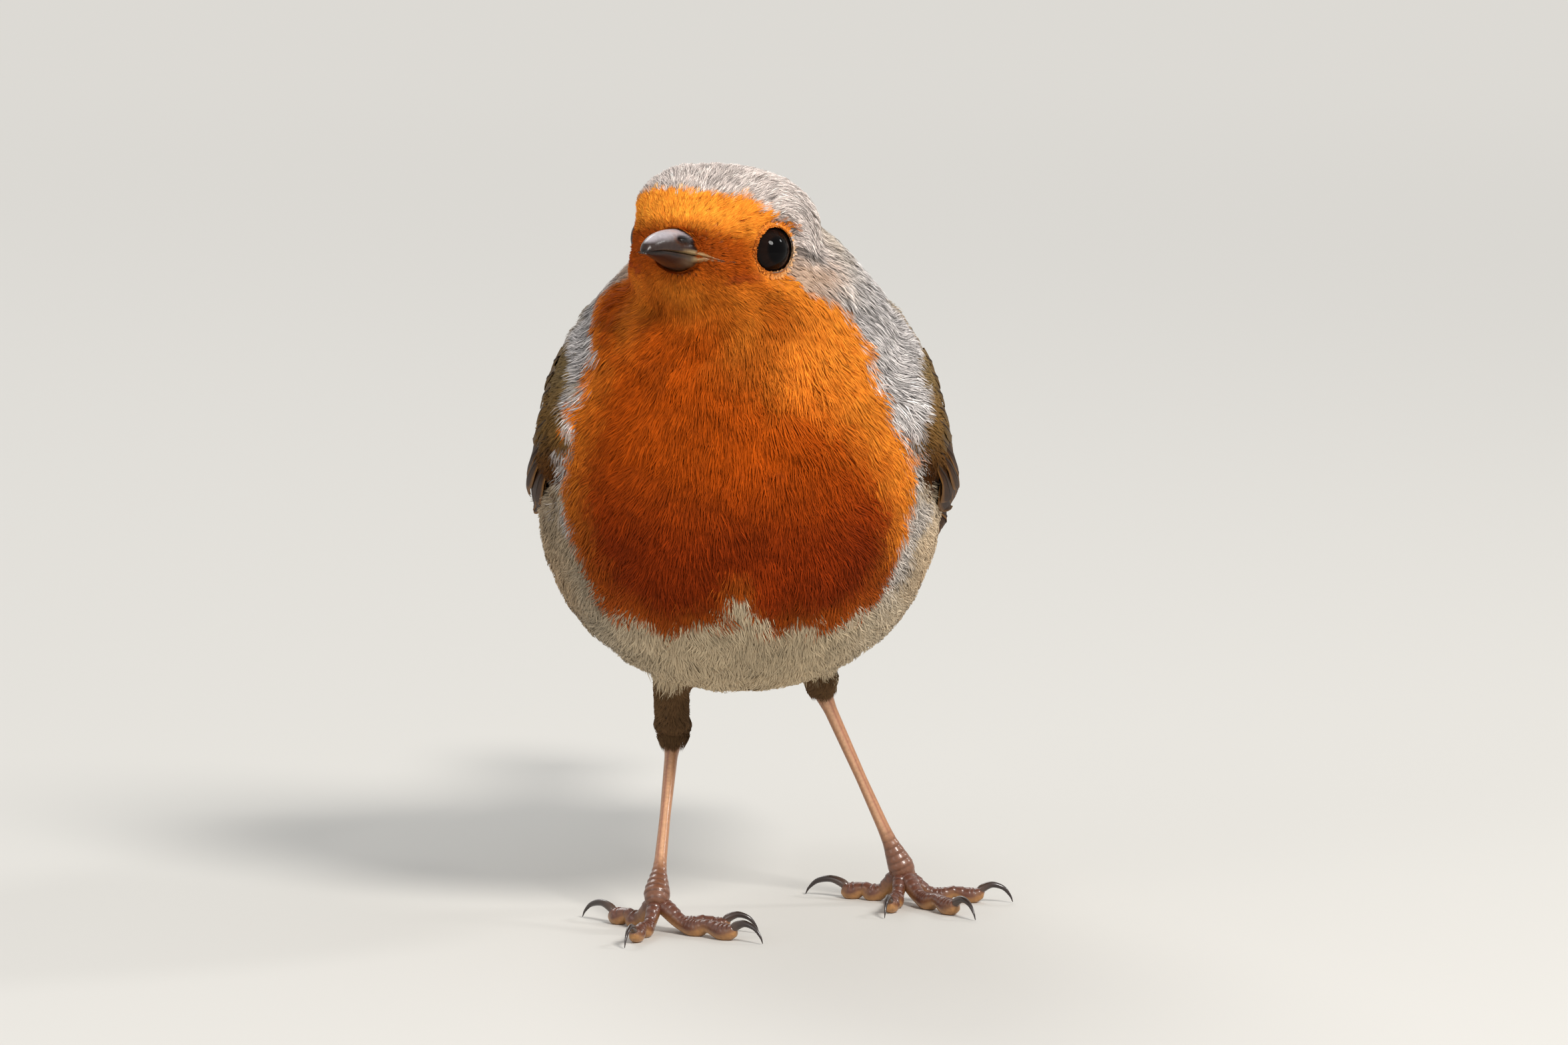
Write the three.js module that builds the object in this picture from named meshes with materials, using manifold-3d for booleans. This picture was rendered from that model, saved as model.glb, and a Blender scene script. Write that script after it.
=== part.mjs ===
// European robin (Erithacus rubecula), a still, life-size model of the standing bird.
// Millimetres, +Z up. The bird faces -Y and its left side is towards +X. It stands on z = 0.
// The outlines are those of the feathered bird: flesh nodes are as fat as the coat is.
import * as THREE from 'three';
import { mergeVertices } from 'three/addons/utils/BufferGeometryUtils.js';
import Module from 'manifold-3d';

const wasm = await Module();
wasm.setup();

// ---------------------------------------------------------------- driving dimensions
const GAP = 0.3; // clearance between neighbouring sub-parts
const BILL_TIP_REACH = 22.6; // head centre to the tip of the bill
const EYE_RADIUS = 3.6;
const EYE_BEARING = 66; // degrees from the bill to each eye, seen from above
const EYE_DEPTH = 8.0; // middle of the head to the middle of an eyeball, seen from above
const EYE_HEIGHT = 0.7; // of the eyes above the middle of the head
const TAIL_LENGTH = 57;
const TAIL_DROOP = 8; // degrees below level
const CLAW_BASE_RADIUS = 0.72;
const CLAW_TIP_HEIGHT = 0.25;
const TOE_REST_HEIGHT = 0.85; // height of a toe's centre line where it lies on the floor

const HEAD = {
  centre: new THREE.Vector3(-1.9, -11.5, 86.2),
  halfWidth: 12.3,
  halfLength: 12.7,
  halfHeight: 11.0,
  yaw: -26, // degrees, turned towards the bird's right
  pitch: -11, // degrees, bill raised
  roll: 2.5, // degrees, right eye the higher
};

// Each leg: the middle of the foot, the ankle and the knee under the plumage, and the toes'
// bearings in degrees from straight ahead, positive towards the bird's left.
const LEGS = {
  right: {
    foot: new THREE.Vector3(-10.0, -5.5, 4.4),
    ankle: new THREE.Vector3(-8.1, 12.6, 21.9),
    knee: new THREE.Vector3(-8.9, 3.0, 39.0),
    toes: { inner: 80, middle: 52, outer: -16, hind: -135 },
  },
  left: {
    foot: new THREE.Vector3(20.8, 15.5, 4.4),
    ankle: new THREE.Vector3(10.4, 14.6, 27.9),
    knee: new THREE.Vector3(10.6, 4.0, 42.0),
    toes: { inner: -10, middle: 33, outer: 88, hind: -115 },
  },
};

// Lengths of each toe without its claw, and of the claw along its chord.
const TOES = {
  middle: { length: 12.6, claw: 4.8, radius: 1.12 },
  inner: { length: 9.2, claw: 4.3, radius: 1.02 },
  outer: { length: 10.4, claw: 4.3, radius: 1.0 },
  hind: { length: 8.2, claw: 5.8, radius: 1.15 },
};

// ---------------------------------------------------------------- colours
const COLOURS = {
  breast: 0xa8490a,
  head: 0xe0801f,
  olive: 0x7a6a48,
  flight: 0x4e3b26,
  eye: 0x120c09,
  bill: 0x3f2a20,
  tibia: 0x5a4630,
  leg: 0xbe8a64,
  claw: 0x4a3a30,
};

function finish(colour, roughness) {
  return new THREE.MeshStandardMaterial({ color: colour, roughness, metalness: 0 });
}

const plumage = finish(COLOURS.breast, 0.9);
const headPlumage = finish(COLOURS.head, 0.9);
const upperPlumage = finish(COLOURS.olive, 0.9);
const flightPlumage = finish(COLOURS.flight, 0.75);
const tibiaPlumage = finish(COLOURS.tibia, 0.9);
const eyeGloss = finish(COLOURS.eye, 0.08);
const billHorn = finish(COLOURS.bill, 0.35);
const legSkin = finish(COLOURS.leg, 0.55);
const clawHorn = finish(COLOURS.claw, 0.35);

// ---------------------------------------------------------------- solids
function point(x, y, z) {
  return new THREE.Vector3(x, y, z);
}

function mirrored(points, side) {
  return points.map(([x, y, z]) => point(side * x, y, z));
}

// A closed mesh with shared corners, turned right side out.
function closed(geometry) {
  geometry.deleteAttribute('normal');
  geometry.deleteAttribute('uv');
  const merged = mergeVertices(geometry, 1e-4);
  const index = merged.index.array;
  const corner = [point(0, 0, 0), point(0, 0, 0), point(0, 0, 0)];
  let volume = 0;
  for (let i = 0; i < index.length; i += 3) {
    corner.forEach((c, k) => c.fromBufferAttribute(merged.attributes.position, index[i + k]));
    volume += corner[0].dot(corner[1].clone().cross(corner[2]));
  }
  if (volume < 0) {
    for (let i = 0; i < index.length; i += 3) {
      [index[i], index[i + 1]] = [index[i + 1], index[i]];
    }
  }
  return merged;
}

// A ball drawn out along two edge lines. Each row of the ball becomes a cross-section that
// spans from the lower line to the upper one, with the half-widths given at the same stations.
// The waist is the height of the widest line: 0 at the lower edge, 1 at the upper.
function loft({ top, bottom, halfWidth, rows, around, waist = 0.5 }, grow = 0) {
  const upper = new THREE.CatmullRomCurve3(top, false, 'catmullrom', 0.5);
  const lower = new THREE.CatmullRomCurve3(bottom, false, 'catmullrom', 0.5);
  const widths = new THREE.SplineCurve(halfWidth.map((w, i) => new THREE.Vector2(i, w)));
  const ball = new THREE.SphereGeometry(1, around, rows);
  const place = ball.attributes.position;
  const middle = (u) => lower.getPoint(u).lerp(upper.getPoint(u), waist);
  for (let row = 0; row <= rows; row += 1) {
    const u = row / rows;
    const before = middle(Math.max(0, u - 0.01));
    const along = middle(Math.min(1, u + 0.01)).sub(before).normalize();
    const centre = middle(u);
    const up = upper.getPoint(u).sub(lower.getPoint(u));
    const side = up.clone().cross(along).normalize();
    const isPole = row === 0 || row === rows;
    const above = up.length() * (1 - waist) + grow;
    const below = up.length() * waist + grow;
    const halfSide = Math.max(widths.getPoint(u).y, 0.02) + grow;
    up.normalize();
    for (let k = 0; k <= around; k += 1) {
      const turn = (2 * Math.PI * k) / around;
      const spot = centre.clone();
      if (isPole) {
        spot.addScaledVector(along, row === 0 ? -grow : grow);
      } else {
        const rise = Math.sin(turn);
        spot.addScaledVector(side, halfSide * Math.cos(turn));
        spot.addScaledVector(up, rise * (rise > 0 ? above : below));
      }
      place.setXYZ(row * (around + 1) + k, spot.x, spot.y, spot.z);
    }
  }
  return closed(ball);
}

// A round limb along a curve, with a radius at each of its points.
function limb({ points, radii, rows, around }, grow = 0) {
  const path = new THREE.CatmullRomCurve3(points, false, 'centripetal');
  const radius = new THREE.SplineCurve(radii.map((r, i) => new THREE.Vector2(i, r)));
  const ball = new THREE.SphereGeometry(1, around, rows);
  const place = ball.attributes.position;
  const reference = Math.abs(path.getTangent(0.5).z) > 0.8 ? point(1, 0, 0) : point(0, 0, 1);
  for (let row = 0; row <= rows; row += 1) {
    const u = row / rows;
    const along = path.getTangent(u);
    const side = along.clone().cross(reference).normalize();
    const up = side.clone().cross(along);
    const isPole = row === 0 || row === rows;
    const size = isPole ? 0 : Math.max(radius.getPoint(u).y, 0.1) + grow;
    const centre = path.getPoint(u);
    if (isPole) {
      centre.addScaledVector(along, row === 0 ? -grow : grow);
    }
    for (let k = 0; k <= around; k += 1) {
      const turn = (2 * Math.PI * k) / around;
      const spot = centre.clone();
      spot.addScaledVector(side, size * Math.cos(turn));
      spot.addScaledVector(up, size * Math.sin(turn));
      place.setXYZ(row * (around + 1) + k, spot.x, spot.y, spot.z);
    }
  }
  return closed(ball);
}

function solid(geometry) {
  const mesh = new wasm.Mesh({
    numProp: 3,
    vertProperties: new Float32Array(geometry.attributes.position.array),
    triVerts: new Uint32Array(geometry.index.array),
  });
  return new wasm.Manifold(mesh);
}

// The largest piece of a solid, as a geometry. Slivers left over by a cut are dropped.
function geometryOf(body) {
  const pieces = body.decompose().sort((a, b) => b.volume() - a.volume());
  const mesh = pieces[0].getMesh();
  const geometry = new THREE.BufferGeometry();
  const corners = new THREE.BufferAttribute(new Float32Array(mesh.vertProperties), 3);
  geometry.setAttribute('position', corners);
  geometry.setIndex(new THREE.BufferAttribute(new Uint32Array(mesh.triVerts), 1));
  return geometry;
}

function cut(body, ...cutters) {
  return cutters.reduce((rest, cutter) => rest.subtract(cutter), body);
}

function block(min, max) {
  const size = max.clone().sub(min);
  const box = new THREE.BoxGeometry(size.x, size.y, size.z);
  box.translate((min.x + max.x) / 2, (min.y + max.y) / 2, (min.z + max.z) / 2);
  return box;
}

// All of space on one side of a plane, as a very large slab.
function halfSpace(onPlane, normal) {
  const reach = 300;
  const slab = block(point(-reach, -reach, 0), point(reach, reach, reach));
  const turn = new THREE.Quaternion().setFromUnitVectors(point(0, 0, 1), normal);
  slab.applyQuaternion(turn);
  slab.translate(onPlane.x, onPlane.y, onPlane.z);
  return solid(closed(slab));
}

const robin = new THREE.Group();

function add(parent, name, geometry, material) {
  const mesh = new THREE.Mesh(geometry, material);
  mesh.name = name;
  parent.add(mesh);
  return mesh;
}

// ---------------------------------------------------------------- head, in its own frame
// The middle of the head is the origin, and the bill points along -Y.
const headPlace = new THREE.Group();
headPlace.position.copy(HEAD.centre);
headPlace.rotation.set(
  THREE.MathUtils.degToRad(HEAD.pitch),
  THREE.MathUtils.degToRad(HEAD.roll),
  THREE.MathUtils.degToRad(HEAD.yaw),
  'ZXY',
);
headPlace.updateMatrix();
robin.add(headPlace);

function eyeCentre(side) {
  const bearing = THREE.MathUtils.degToRad(EYE_BEARING);
  const across = side * EYE_DEPTH * Math.sin(bearing);
  return point(across, -EYE_DEPTH * Math.cos(bearing), EYE_HEIGHT);
}

function eyeForm(side, grow = 0) {
  const ball = new THREE.SphereGeometry(EYE_RADIUS + grow, 14, 10);
  ball.translate(...eyeCentre(side).toArray());
  return closed(ball);
}

// A full, square-crowned head that narrows to the bill, with a dish round each eye.
function headForm(grow = 0) {
  const dishDepth = 1.25;
  const dishReach = 3.6;
  const ball = new THREE.SphereGeometry(1, 24, 16);
  const place = ball.attributes.position;
  for (let i = 0; i < place.count; i += 1) {
    const out = point(place.getX(i), place.getY(i), place.getZ(i));
    const power = out.z > 0 ? 2 + 0.9 * Math.min(1, out.z * 2.5) : 2;
    const round = Math.hypot(out.x, out.z) || 1;
    const sum = Math.abs(out.x / round) ** power + Math.abs(out.z / round) ** power;
    const square = sum > 0 ? sum ** (-1 / power) : 1;
    out.x *= square;
    out.z *= square;
    const ahead = Math.max(0, -out.y);
    const taper = 1 - 0.26 * ahead ** 2.2;
    const brow = out.z > 0 ? 1 - 0.2 * ahead ** 2.5 : 1 - 0.3 * ahead ** 2.5;
    const cheek = 1 + 0.05 * Math.max(0, -out.z) * (1 - ahead);
    const spot = point(
      out.x * (HEAD.halfWidth * taper * cheek + grow),
      out.y * (HEAD.halfLength + grow),
      out.z * (HEAD.halfHeight * brow + grow),
    );
    for (const side of [-1, 1]) {
      const eye = eyeCentre(side);
      const apart = spot.clone().sub(eye).cross(eye.clone().normalize()).length();
      const near = spot.dot(eye) > 0 ? Math.exp(-((apart / dishReach) ** 4)) : 0;
      spot.addScaledVector(eye.normalize(), -dishDepth * near);
    }
    place.setXYZ(i, spot.x, spot.y, spot.z);
  }
  return closed(ball);
}

// The bill is widest at the gape, under the face plumage, and its ridge curves down to the tip.
const UPPER_BILL = {
  top: [
    point(0, -6.8, -1.3),
    point(0, -7.4, 0.2),
    point(0, -9.2, 1.2),
    point(0, -11.4, 1.6),
    point(0, -14.2, 1.45),
    point(0, -17.2, 0.95),
    point(0, -20.0, 0.1),
    point(0, -21.8, -0.85),
    point(0, -BILL_TIP_REACH, -1.75),
  ],
  bottom: [
    point(0, -6.8, -1.3),
    point(0, -7.4, -1.45),
    point(0, -9.2, -1.4),
    point(0, -11.4, -1.3),
    point(0, -14.2, -1.2),
    point(0, -17.2, -1.15),
    point(0, -20.0, -1.2),
    point(0, -21.8, -1.4),
    point(0, -BILL_TIP_REACH, -1.75),
  ],
  halfWidth: [0, 3.9, 3.8, 3.1, 2.3, 1.75, 1.15, 0.6, 0],
  waist: 0.15,
  rows: 12,
  around: 8,
};

const LOWER_BILL = {
  top: [
    point(0, -6.8, -2.1),
    point(0, -7.4, -1.75),
    point(0, -9.2, -1.68),
    point(0, -11.4, -1.58),
    point(0, -14.2, -1.48),
    point(0, -17.2, -1.43),
    point(0, -20.0, -1.5),
    point(0, -21.6, -1.75),
  ],
  bottom: [
    point(0, -6.8, -2.1),
    point(0, -7.4, -2.9),
    point(0, -9.2, -3.4),
    point(0, -11.4, -3.45),
    point(0, -14.2, -3.0),
    point(0, -17.2, -2.55),
    point(0, -20.0, -2.1),
    point(0, -21.6, -1.85),
  ],
  halfWidth: [0, 3.6, 3.5, 2.8, 2.0, 1.45, 0.85, 0],
  waist: 0.85,
  rows: 10,
  around: 8,
};

const SIDES = { right: -1, left: 1 };
const headSolid = cut(
  solid(headForm()),
  solid(loft(UPPER_BILL, GAP)),
  solid(loft(LOWER_BILL, GAP)),
  solid(eyeForm(SIDES.right, GAP)),
  solid(eyeForm(SIDES.left, GAP)),
);
add(headPlace, 'head', geometryOf(headSolid), headPlumage);
add(headPlace, 'bill_upper', loft(UPPER_BILL), billHorn);
const lowerBill = cut(solid(loft(LOWER_BILL)), solid(loft(UPPER_BILL, GAP)));
add(headPlace, 'bill_lower', geometryOf(lowerBill), billHorn);
for (const [name, side] of Object.entries(SIDES)) {
  add(headPlace, `eye_${name}`, eyeForm(side), eyeGloss);
}

// ---------------------------------------------------------------- trunk and neck
// The back line and the belly line run from the tail coverts to inside the head.
const BODY = {
  top: [
    point(0.5, 51, 46.8),
    point(0.5, 48, 50.2),
    point(0.5, 41, 54),
    point(0.4, 33, 60),
    point(0.3, 26.5, 66),
    point(0.3, 21.5, 71),
    point(0.4, 17, 75.5),
    point(0.5, 13.5, 79.5),
    point(0.5, 10, 83),
    point(0.5, 6, 86.5),
    point(0.2, 1.5, 90),
    point(-0.5, -6, 91),
    point(-1.8, -10, 88),
  ],
  bottom: [
    point(0.5, 51, 46.8),
    point(0.5, 45.5, 43.4),
    point(0.5, 35.5, 39),
    point(0.3, 23.5, 32.6),
    point(0.2, 10, 28.4),
    point(0.2, -3, 30.6),
    point(0.4, -13.5, 38.2),
    point(0.5, -20, 48),
    point(0.5, -23.4, 58),
    point(0.4, -24.4, 67),
    point(0.0, -23.6, 75.5),
    point(-1.8, -19.5, 81.5),
    point(-1.8, -10, 88),
  ],
  halfWidth: [0, 6.8, 12.4, 18.6, 23.2, 25.2, 25, 23.8, 22, 18.8, 13.4, 6.5, 0],
  rows: 24,
  around: 26,
};

// The neck starts where the breast plumage turns up to the throat.
const NECK_PLANE = { base: point(0, -9, 75), normal: point(0, -0.5, 0.87).normalize() };

const headInBody = headForm(GAP).applyMatrix4(headPlace.matrix);
const aboveNeck = halfSpace(NECK_PLANE.base, NECK_PLANE.normal);
const gapBase = NECK_PLANE.base.clone().addScaledVector(NECK_PLANE.normal, -GAP);
const aboveTrunk = halfSpace(gapBase, NECK_PLANE.normal);
const billInBody = [UPPER_BILL, LOWER_BILL].map((bill) => {
  return solid(loft(bill, GAP).applyMatrix4(headPlace.matrix));
});
const eyesInBody = Object.values(SIDES).map((side) => {
  return solid(eyeForm(side, 2 * GAP).applyMatrix4(headPlace.matrix));
});
const bodySolid = cut(solid(loft(BODY)), solid(headInBody), ...billInBody, ...eyesInBody);
const trunkSolid = cut(bodySolid, aboveTrunk);
add(robin, 'trunk', geometryOf(trunkSolid), plumage);
add(robin, 'neck', geometryOf(bodySolid.intersect(aboveNeck)), headPlumage);

const aroundBody = solid(loft(BODY, GAP));
const aroundHead = solid(headForm(2 * GAP).applyMatrix4(headPlace.matrix));

// ---------------------------------------------------------------- wings
// Half-folded and drooping a little. The coverts lie over the flight feathers, the secondaries
// over the primaries, and each layer is cut to the one below it and to the flank.
const WING = {
  coverts: {
    top: [
      [18, -12.5, 70],
      [18, -8.5, 75.5],
      [17, 1, 79],
      [15, 11, 76.5],
      [13.5, 20, 70.5],
      [14.5, 27, 63.5],
      [18, 33, 58],
    ],
    bottom: [
      [18, -12.5, 70],
      [21.5, -13, 62.5],
      [24, -7, 57],
      [25.6, 2, 53.5],
      [26.2, 12, 51.5],
      [25.8, 22, 51],
      [18, 33, 58],
    ],
    halfWidth: [0, 2.4, 3.6, 3.9, 3.7, 2.8, 0],
    rows: 12,
    around: 12,
  },
  secondaries: {
    top: [
      [17, 8, 66],
      [14.5, 14, 70.5],
      [11.5, 24, 66.5],
      [10, 34, 60],
      [10.5, 42, 54],
      [14, 49, 48.5],
    ],
    bottom: [
      [17, 8, 66],
      [26.2, 9, 50],
      [26.3, 19, 47.6],
      [25.2, 29, 46.2],
      [21.5, 39.5, 45.6],
      [14, 49, 48.5],
    ],
    halfWidth: [0, 2.1, 1.9, 1.5, 1.0, 0],
    rows: 10,
    around: 10,
  },
  primaries: {
    top: [
      [24, 10, 50],
      [23.6, 17, 51.5],
      [21.5, 30, 49],
      [18.6, 42, 46.4],
      [17, 50.5, 43.6],
      [17, 59.5, 40.3],
    ],
    bottom: [
      [24, 10, 50],
      [24.9, 14, 45.6],
      [24.4, 27, 42.5],
      [22.4, 39, 40.2],
      [20, 49.5, 39],
      [17, 59.5, 40.3],
    ],
    halfWidth: [0, 1.0, 0.95, 0.8, 0.6, 0],
    rows: 10,
    around: 8,
  },
};

// The bird leans a little onto its right leg, so its left wing stands further out.
const WING_SHIFT = { [-1]: 0.4, 1: 1.0 };

function wingForm(layer, side, grow = 0) {
  const { top, bottom, ...rest } = WING[layer];
  const edges = { top: mirrored(top, side), bottom: mirrored(bottom, side) };
  const form = loft({ ...edges, ...rest }, grow);
  form.translate(WING_SHIFT[side], 0, 0);
  return solid(form);
}

for (const [name, side] of Object.entries(SIDES)) {
  const coverts = cut(wingForm('coverts', side), aroundBody, aroundHead);
  const aroundCoverts = wingForm('coverts', side, GAP);
  const secondaries = cut(wingForm('secondaries', side), aroundBody, aroundCoverts);
  const aroundSecondaries = wingForm('secondaries', side, GAP);
  const primaries = cut(
    wingForm('primaries', side),
    aroundBody,
    aroundCoverts,
    aroundSecondaries,
  );
  add(robin, `wing_${name}_coverts`, geometryOf(coverts), upperPlumage);
  add(robin, `wing_${name}_secondaries`, geometryOf(secondaries), flightPlumage);
  add(robin, `wing_${name}_primaries`, geometryOf(primaries), flightPlumage);
}

// ---------------------------------------------------------------- tail
// A closed tail: an arched slab that widens backwards, with a shallow notch at the tip.
function tailForm() {
  const baseHalf = 4.6;
  const tipHalf = 8.8;
  const outline = new THREE.Shape();
  outline.moveTo(-baseHalf, 0);
  outline.quadraticCurveTo(-6.2, 22, -tipHalf, TAIL_LENGTH - 3);
  outline.quadraticCurveTo(-tipHalf + 0.8, TAIL_LENGTH + 0.2, -tipHalf + 3.4, TAIL_LENGTH);
  outline.quadraticCurveTo(-2.5, TAIL_LENGTH - 0.4, 0, TAIL_LENGTH - 1.2);
  outline.quadraticCurveTo(2.5, TAIL_LENGTH - 0.4, tipHalf - 3.4, TAIL_LENGTH);
  outline.quadraticCurveTo(tipHalf - 0.8, TAIL_LENGTH + 0.2, tipHalf, TAIL_LENGTH - 3);
  outline.quadraticCurveTo(6.2, 22, baseHalf, 0);
  outline.closePath();
  const slab = new THREE.ExtrudeGeometry(outline, {
    depth: 1,
    bevelEnabled: false,
    curveSegments: 6,
  });
  const place = slab.attributes.position;
  for (let i = 0; i < place.count; i += 1) {
    const back = place.getY(i) / TAIL_LENGTH;
    const thick = THREE.MathUtils.lerp(2.4, 1.1, back);
    const arch = -0.035 * place.getX(i) ** 2 * (1 - 0.45 * back);
    place.setZ(i, arch + (place.getZ(i) - 0.5) * thick);
  }
  slab.rotateX(THREE.MathUtils.degToRad(-TAIL_DROOP));
  slab.translate(BODY.top[0].x, 34.5, 49.6);
  return solid(closed(slab));
}

add(robin, 'tail', geometryOf(cut(tailForm(), aroundBody)), flightPlumage);

// ---------------------------------------------------------------- legs and feet
const floor = solid(closed(block(point(-200, -200, -100), point(200, 200, 0))));

function thighForm({ ankle, knee }, grow = 0) {
  const shank = knee.clone().lerp(ankle, 0.62);
  const cuff = knee.clone().lerp(ankle, 0.9);
  const sock = ankle.clone().lerp(knee, -0.02);
  const limbShape = { points: [knee, shank, cuff, sock], radii: [2.6, 2.3, 2.3, 1.3] };
  return limb({ ...limbShape, rows: 9, around: 10 }, grow);
}

// The scaled shank: knuckled at the ankle, slim along its length, broad where the toes spring.
function tarsusForm({ foot, ankle }, grow = 0) {
  const along = foot.clone().sub(ankle).normalize();
  const heel = ankle.clone().addScaledVector(along, -1.2);
  const sole = foot.clone().addScaledVector(along, 1.5);
  const stations = [0, 0.07, 0.16, 0.5, 0.82, 0.94, 1];
  const points = stations.map((s) => heel.clone().lerp(sole, s));
  const radii = [1.1, 1.45, 1.05, 0.86, 1.0, 1.75, 1.3];
  return limb({ points, radii, rows: 14, around: 8 }, grow);
}

// A toe drops from the ball of the foot, runs along the floor in low knuckles, and is flat below.
function toeForm(foot, bearing, { length, radius }, grow = 0) {
  const turn = THREE.MathUtils.degToRad(bearing);
  const ahead = point(Math.sin(turn), -Math.cos(turn), 0);
  const at = (reach, height) => foot.clone().setZ(height).addScaledVector(ahead, reach);
  const points = [
    at(0.4, foot.z - 0.9),
    at(length * 0.16, 2.5),
    at(length * 0.34, TOE_REST_HEIGHT + 0.35),
    at(length * 0.5, TOE_REST_HEIGHT),
    at(length * 0.66, TOE_REST_HEIGHT + 0.2),
    at(length * 0.84, TOE_REST_HEIGHT),
    at(length, TOE_REST_HEIGHT + 0.35),
  ];
  const radii = [1.0, 1.05, 0.92, 1.06, 0.86, 1.02, 0.7].map((r) => r * radius);
  return limb({ points, radii, rows: 9, around: 6 }, grow);
}

function clawForm(foot, bearing, { length, claw, radius }) {
  const turn = THREE.MathUtils.degToRad(bearing);
  const ahead = point(Math.sin(turn), -Math.cos(turn), 0);
  const at = (reach, height) => foot.clone().setZ(height).addScaledVector(ahead, reach);
  const root = length - 0.6;
  const points = [
    at(root, TOE_REST_HEIGHT + 0.5),
    at(root + claw * 0.12, TOE_REST_HEIGHT + 0.85),
    at(root + claw * 0.45, TOE_REST_HEIGHT + 1.05),
    at(root + claw * 0.8, TOE_REST_HEIGHT + 0.35),
    at(root + claw, CLAW_TIP_HEIGHT),
  ];
  const base = CLAW_BASE_RADIUS * radius;
  const radii = [0.9, 1.0, 0.78, 0.45, 0.2].map((r) => r * base);
  return limb({ points, radii, rows: 6, around: 6 });
}

for (const [name, leg] of Object.entries(LEGS)) {
  const tarsus = solid(tarsusForm(leg));
  const aroundTarsus = solid(tarsusForm(leg, GAP));
  const thigh = cut(solid(thighForm(leg)), aroundBody, aroundTarsus);
  add(robin, `thigh_${name}`, geometryOf(thigh), tibiaPlumage);
  add(robin, `tarsus_${name}`, geometryOf(tarsus), legSkin);
  const earlierToes = [];
  for (const [toe, size] of Object.entries(TOES)) {
    const bearing = leg.toes[toe];
    const form = solid(toeForm(leg.foot, bearing, size));
    const body = cut(form, aroundTarsus, floor, ...earlierToes);
    add(robin, `toe_${name}_${toe}`, geometryOf(body), legSkin);
    earlierToes.push(solid(toeForm(leg.foot, bearing, size, GAP)));
    const aroundToe = solid(toeForm(leg.foot, bearing, size, GAP));
    const claw = cut(solid(clawForm(leg.foot, bearing, size)), aroundToe);
    add(robin, `claw_${name}_${toe}`, geometryOf(claw), clawHorn);
  }
}

// ---------------------------------------------------------------- origin
// The origin is the bottom centre of the whole bird's box.
robin.updateMatrixWorld(true);
const box = new THREE.Box3().setFromObject(robin, true);
const middle = box.getCenter(new THREE.Vector3());
robin.position.set(-middle.x, -middle.y, -box.min.z);
robin.updateMatrixWorld(true);

export default robin;
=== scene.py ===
# A European robin (Erithacus rubecula), still and life-size, standing on a plain floor.
# Metres. Lengths given in millimetres say so, and are in the bird's own frame: it faces -Y, its
# left side is towards +X, and z is the height above the floor.
import math

import bmesh
import bpy
import numpy as np
from mathutils import Matrix, Vector
from mathutils.bvhtree import BVHTree
from mathutils.kdtree import KDTree


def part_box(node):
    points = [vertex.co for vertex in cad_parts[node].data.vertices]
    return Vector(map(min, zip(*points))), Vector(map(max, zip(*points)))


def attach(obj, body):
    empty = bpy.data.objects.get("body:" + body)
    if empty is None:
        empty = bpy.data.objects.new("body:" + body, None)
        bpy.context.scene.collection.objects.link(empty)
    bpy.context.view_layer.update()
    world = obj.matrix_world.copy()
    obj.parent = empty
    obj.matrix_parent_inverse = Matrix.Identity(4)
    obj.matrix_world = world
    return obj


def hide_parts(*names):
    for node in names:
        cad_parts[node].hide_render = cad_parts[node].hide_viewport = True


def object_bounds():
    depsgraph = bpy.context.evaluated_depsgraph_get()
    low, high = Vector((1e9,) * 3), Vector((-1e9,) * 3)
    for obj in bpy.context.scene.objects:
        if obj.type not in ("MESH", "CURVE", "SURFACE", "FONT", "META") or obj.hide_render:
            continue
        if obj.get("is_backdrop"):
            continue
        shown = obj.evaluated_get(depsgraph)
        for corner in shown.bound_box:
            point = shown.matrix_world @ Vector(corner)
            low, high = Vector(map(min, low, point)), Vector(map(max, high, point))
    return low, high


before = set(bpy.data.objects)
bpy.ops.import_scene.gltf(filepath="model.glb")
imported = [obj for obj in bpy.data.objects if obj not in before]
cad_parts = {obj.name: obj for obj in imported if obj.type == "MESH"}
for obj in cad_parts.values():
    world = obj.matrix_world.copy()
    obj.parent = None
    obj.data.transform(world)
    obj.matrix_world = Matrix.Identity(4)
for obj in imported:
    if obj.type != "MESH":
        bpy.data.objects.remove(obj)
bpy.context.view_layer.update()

MM = 0.001
HEAD_MIDDLE = np.array([-1.9, -11.5, 86.2])  # mm
HEAD_TURNS = (("Z", -26), ("X", -11), ("Y", 2.5))  # yaw, pitch and roll, degrees
EYE_BEARING = math.radians(66)
EYE_DEPTH = 8.0  # mm, middle of the head to the middle of an eyeball
EYE_HEIGHT = 0.7

yaw, pitch, roll = (Matrix.Rotation(math.radians(turn), 3, axis) for axis, turn in HEAD_TURNS)
head_turn = np.array(yaw @ pitch @ roll)


def middle_of(node):
    low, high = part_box(node)
    return np.array((low + high) / 2) / MM


between_eyes = np.array([0.0, -EYE_DEPTH * math.cos(EYE_BEARING), EYE_HEIGHT])
bird_place = (middle_of("eye_left") + middle_of("eye_right")) / 2
bird_place = bird_place - (HEAD_MIDDLE + head_turn @ between_eyes)


def to_scene(places):
    """Places in the bird's frame, mm, to metres in the scene."""
    return (np.asarray(places) + bird_place) * MM


def from_head(places):
    """Places in the head's frame, mm, to the bird's frame."""
    return np.asarray(places) @ head_turn.T + HEAD_MIDDLE


def to_head(places):
    return (np.asarray(places) - HEAD_MIDDLE) @ head_turn


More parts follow.
